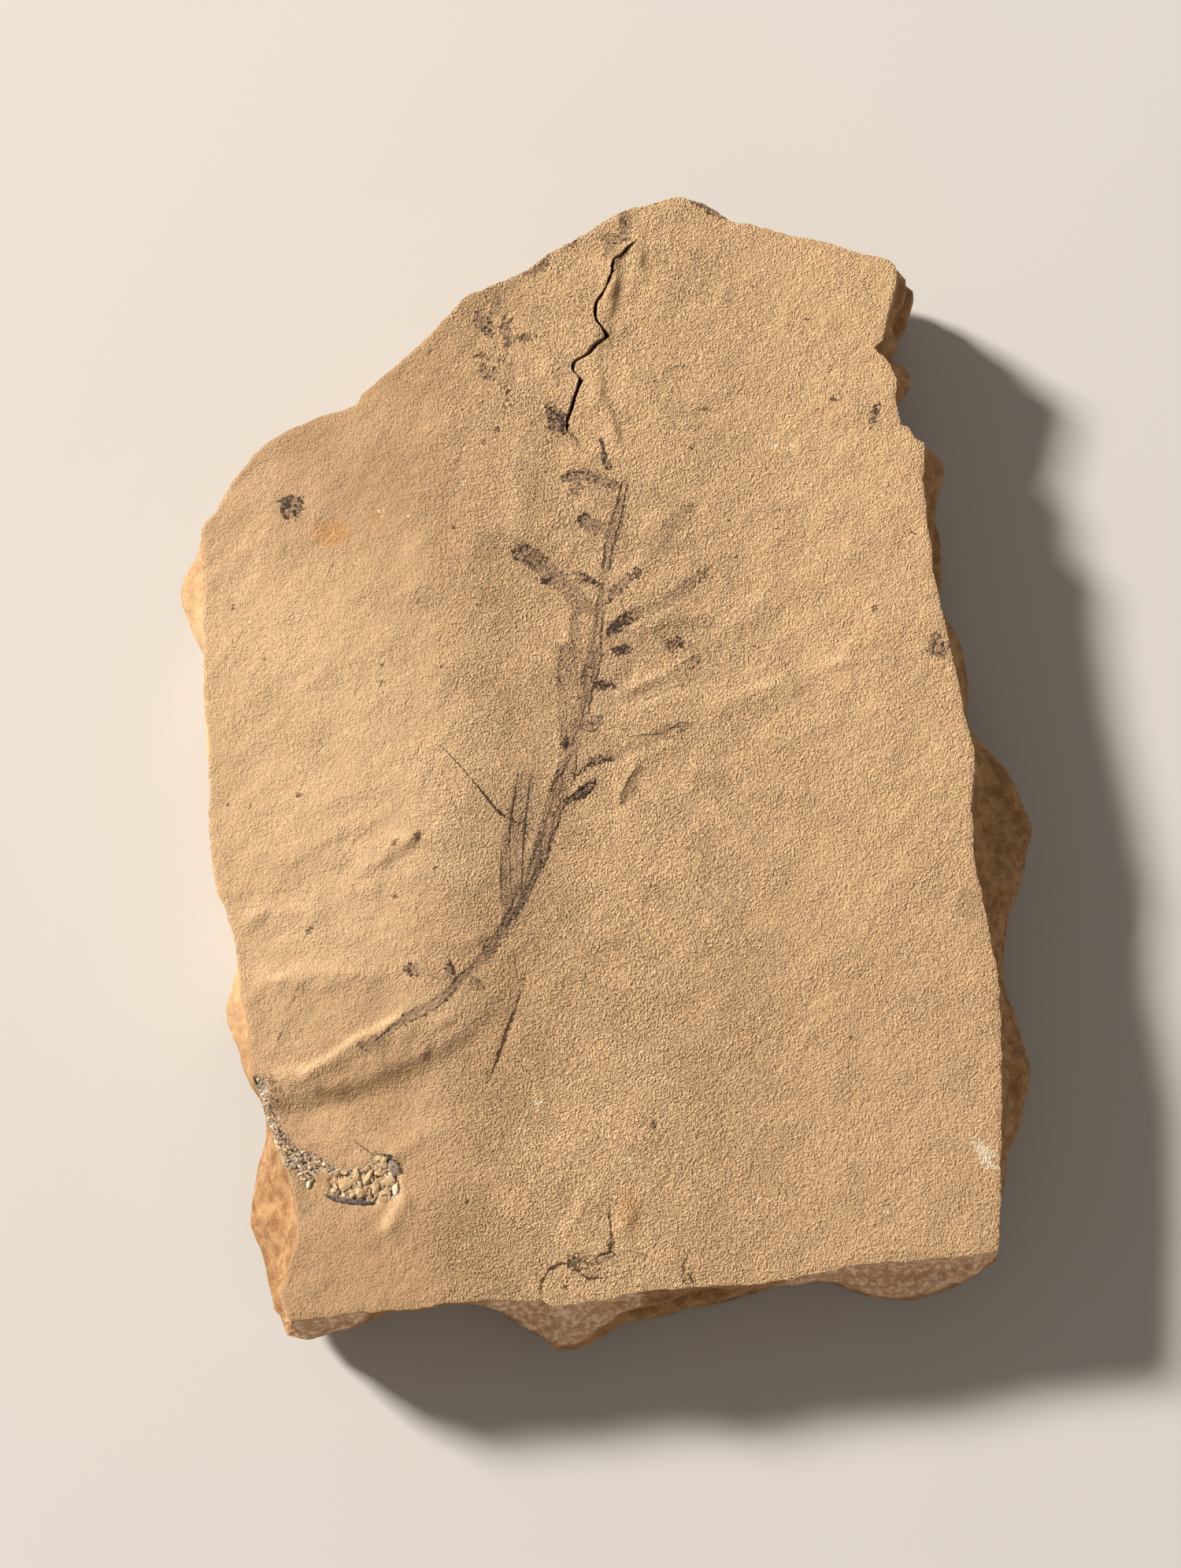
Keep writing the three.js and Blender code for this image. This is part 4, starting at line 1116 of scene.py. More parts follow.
@dataclass
class SlabMesh:
    """Joins the face, walls and back of a slab into one closed surface with its fields; heights are in mm."""

    slab: Slab
    twig: Twig
    jag: float = 0.08
    jag_reach: float = 0.7
    shell_rough: float = 0.16
    far_lip: float = -0.3
    lift_reach: float = 2.4
    lip_round: float = 0.05
    rim_round: float = 0.06
    film_sink: float = 0.035
    ridge_height: float = 0.02
    ridges_from: int = 8
    hairline_depth: float = 0.12
    back_inset: float = 0.012
    distances: tuple[str, ...] = ("film", "net", "ink", "hair", "fleck", "pale", "rust", "crack", "shell")

    def face(self) -> tuple[Array, dict[str, Array], Array]:
        """The face's vertices and fields.

        Returns:
            Points by row and column in mm, the fields over them, and the rim before it was jagged.
        """
        slab, twig = self.slab, self.twig
        plan, rim_gap, crack_depth, side = slab.face_plan(twig.middle())
        clean_rim = slab.rim_loop(plan)
        x, y = np.moveaxis(plan, -1, 0)
        coarse, fine = (x / 1.1, y / 1.1), (x / 0.4, y / 0.4)
        shove = [noise(*coarse, seed=k) + 0.9 * noise(*fine, seed=k + 1) for k in (51, 53)]
        plan = plan + np.exp(-rim_gap / self.jag_reach)[..., None] * self.jag * np.stack(shove, -1)
        x, y = np.moveaxis(plan, -1, 0)
        strokes, worn = slab.strokes_relief(x, y)
        fields = twig.measure(x, y)
        fields["shell"] = slab.pit(x, y)
        fields["fleck"] = nearest_spot(twig.specks(), x, y)
        fields["pale"] = nearest_spot(twig.pale, x, y)
        fields["rust"] = nearest_spot(twig.rust, x, y)
        fields["crack"], fields["crack_dark"] = nearest_stroke(slab.hairlines, x, y)
        opened = (crack_depth / slab.crack_depth)[:, None]
        fields["worn"] = worn
        fields["down"] = -rim_gap
        # How far open the crack is in its gap; the face's finish paints shade there.
        fields["gap"] = np.where(side == 0, opened, 0.0)
        z = slab.thickness + slab.face_form(x, y) + slab.face_texture(x, y) + strokes
        z += self.cracked(plan, opened, side) + self.marked(x, y, fields)
        z -= self.rim_round * smooth(1 - rim_gap / 0.3)
        return np.stack([x, y, z], -1), fields, clean_rim

    def cracked(self, plan: Array, opened: Array, side: Array) -> Array:
        """Height that the crack adds: a lifted left side, a sunk right one, rounded lips and the open gap.

        Args:
            plan: Plan points by row and column.
            opened: How far the crack is open in each row, from 0 to 1.
            side: The side of the crack for each column, 0 in its gap.

        Returns:
            The height for each point, in mm.
        """
        to_spine = np.hypot(*np.moveaxis(plan - plan[:, [self.slab.left_cells + 2]], -1, 0))
        lift = self.slab.crack_lift * np.exp(-to_spine / self.lift_reach)
        lift = lift * np.where(side < 0, 1, self.far_lip)
        rounded = self.lip_round * np.exp(-to_spine / 0.25)
        uneven = 1 + 0.12 * noise(plan[:, :1, 1] / 0.5, seed=33)
        return opened * (lift - rounded - np.where(side == 0, self.slab.crack_depth * uneven, 0.0))

    def marked(self, x: Array, y: Array, fields: dict[str, Array]) -> Array:
        """Height that the marks add: the pit, the film's slight sink, ridges down leaf edges and hairlines.

        Args:
            x, y: Plan places in mm.
            fields: The face's fields.

        Returns:
            The height for each point, in mm.
        """
        shell, film = fields["shell"], fields["film"]
        pit = self.slab.pit_depth * smooth(0.25 - shell / 0.45)
        rough = self.shell_rough * smooth(0.5 - shell / 0.5) * noise(x / 0.45, y / 0.45, seed=37)
        sunk = self.film_sink * smooth(-film / 0.18 + 0.3)
        ridge = np.exp(-((film - 0.12) / 0.12) ** 2) * (fields["flow_which"] >= self.ridges_from)
        hairline = np.exp(-(fields["crack"] / 2.2) ** 2) * smooth(fields["crack_dark"] * 2)
        return rough + self.ridge_height * ridge - pit - sunk - self.hairline_depth * hairline

    def vertices(self) -> tuple[Array, list[Array], dict[str, Array]]:
        """The whole surface.

        Returns:
            The vertices in mm, the quads and then the triangles as corner indices, and each field's values.
        """
        slab = self.slab
        face, fields, clean = self.face()
        index = np.arange(face[..., 0].size).reshape(face.shape[:2])
        points = [face.reshape(-1, 3)]
        values = {name: [field.reshape(-1)] for name, field in fields.items()}
        quads = [grid_quads(index)]
        rim = slab.rim_loop(face)
        shift = rim[:, :2] - clean
        rise = rim[:, 2] - slab.thickness - slab.face_form(rim[:, 0], rim[:, 1])
        normals = slab.outward(clean)
        upper = slab.rim_loop(index)
        count = len(upper)
        for depth in (*slab.loops, slab.thickness):
            out = slab.wall_offset(*clean.T, depth) + slab.wall_texture(*clean.T, depth)
            x, y = (clean + shift * math.exp(-depth / 1.2) + normals * out[:, None]).T
            top = slab.thickness + slab.face_form(x, y) + rise * math.exp(-depth / 1.5)
            low = slab.back_relief(x, y, np.zeros(count))
            z = top + (low - top) * depth / slab.thickness
            lower = np.arange(count) + sum(len(part) for part in points)
            points.append(np.column_stack([x, y, z]))
            self.plain_values(values, count, depth)
            quads.append(np.column_stack([lower, np.roll(lower, -1), np.roll(upper, -1), upper]))
            upper = lower
        first = sum(len(part) for part in points)
        back_points, back_quads, fans = self.back(points[-1], upper, first, index.shape)
        points.append(back_points)
        self.plain_values(values, len(back_points), slab.thickness + 1.0)
        quads.append(back_quads)
        flat = {name: np.concatenate(parts) for name, parts in values.items()}
        every = np.vstack(points)
        flat.update(self.clouds(*every.T, flat.pop("worn")))
        return every, [np.vstack(quads), fans], flat

    def clouds(self, x: Array, y: Array, z: Array, worn: Array) -> dict[str, Array]:
        """Slow changes of the stone's colour and grain, as sums of broad noise over the whole slab.

        Args:
            x, y, z: Vertex places in mm.
            worn: How worn the stone is at each.

        Returns:
            drift and cloud: shares of the darker and paler stone; painted_light_and_wear: share of paler tan, a
            painted pool of light on the left joined with paler worn crests; grain: strength of the grain's relief
            and of its painted shade; crush_and_bounce_light: how crushed the wall is, which the walls' finish also
            paints paler as if lit by warm bounce light.
        """
        broad = 0.5 * noise(x / 16, y / 16, z / 16, seed=61) + 0.25 * noise(x / 7, y / 7, z / 7, seed=62)
        small = 0.6 * noise(x / 6, y / 6, z / 6, seed=63) + 0.4 * noise(x / 2.4, y / 2.4, z / 2.4, seed=64)
        west, north = (x + 23) / 19, (y - 1) / 24
        ends = smooth((np.abs(y - 1) - 24) / 14)
        # A painted pool of light: the face and walls are paler on the left, where the light falls most strongly.
        painted_light_pool = 0.5 * smooth(1 - (west * west + north * north) / 1.3)
        left = smooth(0.5 - (x + 7) / 16 + 0.5 * broad)
        right = (0.13 + 0.26 * smooth((8 - y) / 30)) * smooth((x - 3) / 9)
        grain = 0.58 + 0.62 * smooth((x + 16) / 9) - 0.32 * smooth((x - 4) / 16)
        crush_and_bounce_light = [bell(np.hypot(x - cx, y - cy) / reach) for cx, cy, reach in self.slab.crushed]
        return {
            "drift": np.maximum(left, right),
            "cloud": (0.5 - 0.3 * smooth((x + 12) / 12)) * smooth(0.35 + 0.9 * small) * (1 - ends),
            # Paler tan: the painted pool of light, or paler worn crests where those are stronger.
            "painted_light_and_wear": np.maximum(painted_light_pool, 0.6 * worn),
            "grain": grain * (1 + 0.2 * noise(x / 2.2, y / 2.2, z / 2.2, seed=65)),
            # How crushed the wall is; the walls' finish also paints these stretches paler, as painted warm bounce
            # light.
            "crush_and_bounce_light": np.max(crush_and_bounce_light, axis=0),
        }

    def plain_values(self, values: dict[str, list[Array]], count: int, depth: float) -> None:
        """Adds to each field its value on bare stone, and to `down` the depth below the face."""
        fibres = {f"fibre{number}" for number in range(len(self.twig.fibres))}
        for name, parts in values.items():
            bare = FAR if name in fibres or name in self.distances else 0.0
            parts.append(np.full(count, depth if name == "down" else bare))

    def back(self, rim: Array, rim_index: Array, first: int, size: tuple[int, int]) -> tuple[Array, ...]:
        """The back: a grid with a quarter of the face's rows and columns, fanned to the walls' last loop.

        Args:
            rim: Points of the walls' last loop.
            rim_index: Their vertex indices.
            first: Index of the back's first vertex.
            size: Rows and columns of vertices on the face.

        Returns:
            The back's points, its quads, and the triangles of the fan.
        """
        share = self.slab.back_share
        up, right = ((part - 1) // share for part in size)
        coarse = rim[::share, :2]
        middle = coarse.mean(axis=0)
        ring = coarse + (middle - coarse) * self.back_inset
        ring = np.vstack([ring, ring[:1]])
        corners = np.cumsum([0, right, up, right, up])
        low, east, high, west = (ring[start : end + 1] for start, end in zip(corners, corners[1:]))
        u, v = np.linspace(0, 1, right + 1), np.linspace(0, 1, up + 1)
        plan = Slab.blend(low, high[::-1], west[::-1], east, u, v)
        inward = np.minimum(np.minimum(u, 1 - u)[None], np.minimum(v, 1 - v)[:, None])
        x, y = plan[..., 0], plan[..., 1]
        z = self.slab.back_relief(x, y, inward)
        index = first + np.arange(x.size).reshape(x.shape)
        loop = self.slab.rim_loop(index)
        near = np.arange(len(loop)) * share
        after = np.roll(rim_index, -1)
        fan = []
        for step in range(share):
            inner = loop if step < share // 2 else np.roll(loop, -1)
            fan.append(np.column_stack([after[near + step], rim_index[near + step], inner]))
        fan.append(np.column_stack([loop, np.roll(loop, -1), rim_index[near + share // 2]]))
        return np.column_stack([x.ravel(), y.ravel(), z.ravel()]), grid_quads(index)[:, ::-1], np.vstack(fan)


def grid_quads(index: Array) -> Array:
    """The four corners of each cell of a grid of vertex indices, anticlockwise."""
    return np.stack([index[:-1, :-1], index[:-1, 1:], index[1:, 1:], index[1:, :-1]], -1).reshape(-1, 4)


def closed_body(rings: Array, first: int) -> tuple[Array, Array, Array]:
    """A closed body carried through rings of points, the first and last drawn together to their middles.

    Args:
        rings: Points by ring and by place round it, clockwise seen from beyond the last ring.
        first: Index of the body's first vertex.

    Returns:
        The body's points, its quads and the triangles of its two ends.
    """
    ends = rings[[0, -1]].mean(axis=1)
    inner = rings[1:-1]
    index = first + np.arange(inner.shape[0] * inner.shape[1]).reshape(inner.shape[:2])
    tips = first + index.size + np.arange(2)
    index = np.column_stack([index, index[:, 0]])
    start = np.column_stack([index[0, :-1], index[0, 1:], np.full(inner.shape[1], tips[0])])
    end = np.column_stack([index[-1, 1:], index[-1, :-1], np.full(inner.shape[1], tips[1])])
    return np.vstack([inner.reshape(-1, 3), ends]), grid_quads(index)[:, ::-1], np.vstack([start, end])


def make_mesh(name: str, points: Array, faces: list[Array]) -> Mesh:
    """A mesh from vertices in metres and arrays of polygons, filled by foreach_set.

    Args:
        name: The mesh's name.
        points: Vertex places, one row each.
        faces: Arrays of corner indices, each with one polygon a row.

    Returns:
        The mesh, smooth shaded.
    """
    mesh = bpy.data.meshes.new(name)
    mesh.vertices.add(len(points))
    mesh.vertices.foreach_set("co", points.astype(np.float32).ravel())
    sizes = np.concatenate([np.full(len(part), part.shape[1]) for part in faces])
    corners = np.concatenate([part.ravel() for part in faces])
    mesh.loops.add(len(corners))
    mesh.loops.foreach_set("vertex_index", corners.astype(np.int32))
    mesh.polygons.add(len(sizes))
    mesh.polygons.foreach_set("loop_start", np.concatenate([[0], np.cumsum(sizes)[:-1]]).astype(np.int32))
    mesh.polygons.foreach_set("use_smooth", np.ones(len(sizes), bool))
    mesh.update(calc_edges=True)
    mesh.validate()
    return mesh


def add_field(mesh: Mesh, name: str, values: Array) -> None:
    """Stores one number a vertex as a float attribute."""
    mesh.attributes.new(name, "FLOAT", "POINT").data.foreach_set("value", values.astype(np.float32))


def add_object(name: str, mesh: Mesh, *materials: Material) -> Object:
    """An object at the origin that shows the mesh in its materials."""
    for material in materials:
        mesh.materials.append(material)
    thing = bpy.data.objects.new(name, mesh)
    bpy.context.scene.collection.objects.link(thing)
    return thing


# ---- Finishes ----

Feed = Socket | float | str | tuple[float, ...]


def linear(colour: str) -> tuple[float, float, float, float]:
    """A colour written as six hexadecimal digits, in the linear light that shaders use."""
    shares = [int(colour[i : i + 2], 16) / 255 for i in (0, 2, 4)]
    return (*(c / 12.92 if c <= 0.04045 else ((c + 0.055) / 1.055) ** 2.4 for c in shares), 1.0)


class Web:
    """A material's web of nodes, with short calls that add a node and give back its output."""

    def __init__(self, name: str) -> None:
        """Starts an empty tree."""
        self.material = bpy.data.materials.new(name)
        self.material.use_nodes = True
        self.tree = self.material.node_tree
        self.tree.nodes.clear()

    def add(self, kind: str, feeds: dict[str | int, Feed] | None = None, **settings: object) -> Node:
        """Adds a node.

        Args:
            kind: The node's type name after "ShaderNode".
            feeds: A socket, a value or a colour's six digits for each named or numbered input.
            settings: The node's own options.

        Returns:
            The node.
        """
        node = self.tree.nodes.new(f"ShaderNode{kind}")
        for key, value in settings.items():
            setattr(node, key, value)
        for key, value in (feeds or {}).items():
            if isinstance(value, Socket):
                self.tree.links.new(value, node.inputs[key])
            else:
                node.inputs[key].default_value = linear(value) if isinstance(value, str) else value
        return node

    def calc(self, operation: str, *values: Feed) -> Socket:
        """One step of arithmetic."""
        return self.add("Math", dict(enumerate(values)), operation=operation).outputs[0]

    def times(self, one: Feed, other: Feed) -> Socket:
        """The product of two values."""
        return self.calc("MULTIPLY", one, other)

    def plus(self, one: Feed, other: Feed) -> Socket:
        """The sum of two values."""
        return self.calc("ADD", one, other)

    def minus(self, one: Feed, other: Feed) -> Socket:
        """The first value less the second."""
        return self.calc("SUBTRACT", one, other)

    def scaled(self, value: Feed, factor: Feed, more: Feed) -> Socket:
        """A value times a factor, and something more."""
        return self.calc("MULTIPLY_ADD", value, factor, more)

    def size(self, value: Feed) -> Socket:
        """A value without its sign."""
        return self.calc("ABSOLUTE", value)

    def rise(self, value: Feed, low: float, high: float, to_low: float = 0.0, to_high: float = 1.0) -> Socket:
        """A smooth step of the value: `to_low` at `low`, `to_high` at `high`."""
        feeds = {"Value": value, "From Min": low, "From Max": high, "To Min": to_low, "To Max": to_high}
        return self.add("MapRange", feeds, interpolation_type="SMOOTHSTEP").outputs[0]

    def field(self, name: str) -> Socket:
        """A float attribute of the mesh."""
        return self.add("Attribute", attribute_name=name).outputs["Fac"]

    def vector(self, x: Feed, y: Feed, z: Feed = 0.0) -> Socket:
        """A vector of three values."""
        return self.add("CombineXYZ", {0: x, 1: y, 2: z}).outputs[0]

    def position(self) -> Socket:
        """Object coordinates in mm."""
        place = self.add("TexCoord").outputs["Object"]
        return self.add("VectorMath", {0: place, "Scale": 1 / MM}, operation="SCALE").outputs[0]

    def noise(self, at: Socket, scale: float, detail: float, rough: float, shift: float = 0.0) -> Socket:
        """Fractal noise from about 0.2 to 0.8 round 0.5."""
        away = (shift, shift * 1.7, shift * 0.6)
        moved = self.add("VectorMath", {0: at, 1: away}, operation="ADD").outputs[0]
        feeds = {"Vector": moved, "Scale": scale, "Detail": detail, "Roughness": rough}
        return self.add("TexNoise", feeds).outputs[0]

    def mix(self, share: Feed, low: Feed, high: Feed) -> Socket:
        """Mixes two colours."""
        return self.add("Mix", {0: share, 6: low, 7: high}, data_type="RGBA").outputs[2]

    def bump(self, height: Feed, depth: float) -> Socket:
        """The normal of a surface whose height changes by `depth` mm."""
        feeds = {"Strength": 1.0, "Distance": depth * MM, "Height": height}
        return self.add("Bump", feeds).outputs[0]

    def shade(self, colour: Socket, amount: Feed) -> Socket:
        """Multiplies a colour by a brightness."""
        return self.add("VectorMath", {0: colour, "Scale": amount}, operation="SCALE").outputs[0]

    def finish(self, colour: Socket, roughness: Feed, bump: Socket | None, specular: float) -> Material:
        """Wires the colour, roughness and normal into the material's surface."""
        feeds = {"Base Color": colour, "Roughness": roughness, "Specular IOR Level": specular}
        if bump is not None:
            feeds["Normal"] = bump
        shader = self.add("BsdfPrincipled", feeds)
        self.add("OutputMaterial", {0: shader.outputs[0]})
        return self.material


@dataclass(frozen=True)
class ShaleFinish:
    """The face: tan shale with the twig's dark film, cracks and stains.

    Soft clouds come from the mesh's fields: darker and paler stone, and paler tan that paints a pool of light
    on the left and marks worn crests; finer grain is noise by place, with painted grain shade in its specks.
    `fibres` is the number of fibres down the stem that the mesh measures.
    """

    fibres: int
    warm: str = "b08e6a"
    olive: str = "d4af85"
    pale_tan: str = "cfac87"
    # paler tan of the painted pool of light on the left and of worn crests
    lit_and_worn_tan: str = "d6b58d"
    film_tint: str = "795f57"
    film_black: str = "231d1c"
    ink: str = "2a211d"
    # darker tan painted into pores as their shade
    shade: str = "9c7650"
    # dark brown of hairline cracks, also painted as shade into the open crack's gap
    crack: str = "3a2413"
    rust: str = "c07a35"
    white: str = "efe2c8"
    mauve: str = "77645c"
    grey: str = "a89e92"
    grain_depth: float = 0.3
    roughness: float = 0.93
    specular: float = 0.2

    def build(self) -> Material:
        """The face's material."""
        web = Web(SLOT)
        at = web.position()
        blot = web.noise(at, 0.9, 3.0, 0.65)
        rag = web.noise(at, 2.6, 2.0, 0.7, 2.0)
        grit = web.noise(at, 4.6, 2.0, 0.75, 4.0)
        sand = web.noise(at, 1.3, 2.0, 0.9, 1.0)
        fine = web.noise(at, 6.0, 1.0, 0.8, 3.0)
        colour = self.stone(web, at, blot, grit, fine)
        colour = self.stains(web, rag, colour)
        colour = self.shell_bed(web, blot, rag, grit, colour)
        colour = self.film(web, blot, rag, grit, colour)
        colour = self.lines(web, blot, rag, grit, colour)
        grain = web.field("grain")
        uneven = web.times(fine, grain)
        height = web.times(web.scaled(sand, 0.8, web.times(uneven, 1.1)), grain)
        return web.finish(colour, self.roughness, web.bump(height, self.grain_depth), self.specular)

    def stone(self, web: Web, at: Socket, blot: Socket, grit: Socket, fine: Socket) -> Socket:
        """Darker on the left than on the right, paler along worn crests and in a painted pool of light on the left.

        Fine specks are partly the stone's speckle and partly painted grain shade; pores are painted in shade, and
        pale glints are scattered.
        """
        colour = web.mix(web.field("drift"), self.olive, self.warm)
        colour = web.mix(web.field("cloud"), colour, self.pale_tan)
        # Painted light: paler tan over the pool on the left, and paler worn crests.
        colour = web.mix(web.field("painted_light_and_wear"), colour, self.lit_and_worn_tan)
        mottle = web.rise(blot, 0.25, 0.75, 0.96, 1.04)
        # Fine light and dark specks: partly the stone's own speckle, partly painted shade and light standing in for
        # the grain's shading under a low light, stronger where the grain is stronger.
        uneven = web.scaled(grit, 0.6, web.minus(fine, 0.8))
        grain_tone_and_shade = web.scaled(web.times(uneven, web.field("grain")), 1.3, 1.0)
        colour = web.shade(colour, web.times(mottle, grain_tone_and_shade))
        cell = web.add("TexVoronoi", {"Vector": at, "Scale": 1.1, "Randomness": 1.0})
        chance = web.add("SeparateXYZ", {0: cell.outputs["Color"]}).outputs[0]
        dot = web.rise(cell.outputs["Distance"], 0.05, 0.13, 0.6, 0.0)
        # Pores: small pits drawn only as dark spots, with their shade painted in.
        pore_shade = web.times(dot, web.rise(chance, 0.80, 0.86))
        colour = web.mix(pore_shade, colour, self.shade)
        glint = web.times(dot, web.rise(chance, 0.12, 0.08))
        return web.mix(glint, colour, self.white)

    def stains(self, web: Web, rag: Socket, colour: Socket) -> Socket:
        """Rust-coloured and pale spots."""
        ragged = web.rise(rag, 0.25, 0.75, -0.35, 0.35)
        rust = web.rise(web.plus(web.field("rust"), ragged), -0.5, 0.35, 0.35, 0.0)
        colour = web.mix(rust, colour, self.rust)
        pale = web.rise(web.plus(web.field("pale"), ragged), -0.2, 0.06, 0.6, 0.0)
        return web.mix(pale, colour, self.white)

    def shell_bed(self, web: Web, blot: Socket, rag: Socket, grit: Socket, colour: Socket) -> Socket:
        """The ground between the crushed shell's pieces: mottled mauve, grey, tan and white."""
        mixed = web.scaled(rag, 0.5, web.times(grit, 0.5))
        bed = web.mix(web.rise(mixed, 0.42, 0.52), self.mauve, self.grey)
        bed = web.mix(web.rise(blot, 0.48, 0.6), bed, self.pale_tan)
        bed = web.mix(web.rise(grit, 0.56, 0.66), bed, self.white)
        bed = web.mix(web.rise(rag, 0.36, 0.3, 0.0, 0.8), bed, self.film_black)
        return web.mix(web.rise(web.field("shell"), -0.12, 0.1, 0.92, 0.0), colour, bed)

    def film(self, web: Web, blot: Socket, rag: Socket, grit: Socket, colour: Socket) -> Socket:
        """The flattened plant: a thin mauve-brown tint, black specks drawn out along it and dark edges."""
        ragged = web.rise(rag, 0.2, 0.8, -0.27, 0.27)
        edge = web.plus(web.field("film"), ragged)
        carbon = web.field("carbon")
        along = web.times(web.field("flow_along"), 0.28)
        across = web.times(web.field("flow_across"), 2.7)
        streak = web.noise(web.vector(along, across, web.field("flow_which")), 1.0, 3.0, 0.6)
        mixed = web.scaled(streak, 0.22, web.times(grit, 0.33))
        mixed = web.scaled(rag, 0.33, mixed)
        mixed = web.scaled(blot, 0.12, mixed)
        level = web.scaled(carbon, 0.15, 0.385)
        black = web.rise(web.minus(mixed, level), -0.012, 0.014, 1, 0)
        soft = web.rise(edge, -0.22, 0.12, 1, 0)
        cover = web.times(soft, web.rise(blot, 0.3, 0.7, 0.7, 1.0))
        tint = web.times(cover, web.scaled(carbon, 0.46, 0.21))
        colour = web.mix(tint, colour, self.film_tint)
        fibre = web.rise(web.size(web.minus(streak, 0.5)), 0.01, 0.034, 1, 0)
        fibre = web.times(fibre, web.rise(carbon, 0.1, 0.5, 0.08, 0.4))
        inside = web.rise(edge, -0.05, 0.07, 0.85, 0.0)
        black = web.times(web.calc("MAXIMUM", black, fibre), inside)
        colour = web.mix(black, colour, self.film_black)
        colour = self.stem_fibres(web, grit, colour)
        line = web.rise(web.size(edge), 0.02, 0.1, 1, 0)
        line = web.times(line, web.rise(grit, 0.44, 0.56))
        line = web.times(line, web.rise(carbon, 0.0, 0.3, 0.3, 0.75))
        return web.mix(line, colour, self.ink)

    def stem_fibres(self, web: Web, grit: Socket, colour: Socket) -> Socket:
        """Dark lines down the stem, from the mesh's signed distances to each and their strengths."""
        ragged = web.rise(grit, 0.2, 0.8, -0.12, 0.12)
        broken = web.rise(grit, 0.4, 0.52, 0.4, 1.0)
        for number in range(self.fibres):
            off = web.size(web.plus(web.field(f"fibre{number}"), ragged))
            line = web.times(web.rise(off, 0.045, 0.12, 1, 0), web.field(f"fibre{number}_dark"))
            line = web.times(line, broken)
            colour = web.mix(line, colour, self.ink)
        return colour

    def lines(self, web: Web, blot: Socket, rag: Socket, grit: Socket, colour: Socket) -> Socket:
        """Thin dark lines, flecks and cracks, and painted shade in the open crack's gap."""
        wander = web.rise(rag, 0.2, 0.8, -0.9, 0.9)
        gate = web.rise(blot, 0.3, 0.5, 0.5, 1.0)
        for name, tone in (("ink", self.ink), ("hair", self.ink), ("crack", self.crack)):
            width = web.size(web.plus(web.field(name), wander))
            line = web.times(web.rise(width, 0.7, 1.6, 0.88, 0.0), web.field(f"{name}_dark"))
            colour = web.mix(web.times(line, gate), colour, tone)
        thread = web.rise(web.size(web.minus(rag, 0.5)), 0.012, 0.05, 0.9, 0.0)
        thread = web.times(thread, web.rise(web.field("net"), -0.3, 0.15, 1, 0))
        colour = web.mix(thread, colour, self.ink)
        ragged = web.rise(grit, 0.2, 0.8, -0.2, 0.2)
        fleck = web.rise(web.plus(web.field("fleck"), ragged), -0.12, 0.06, 0.75, 0.0)
        colour = web.mix(fleck, colour, self.ink)
        # Painted shade: the open crack's gap is darkened to dark brown, as if in its own shadow.
        return web.mix(web.rise(web.field("gap"), 0.3, 1.0, 0.0, 0.85), colour, self.crack)


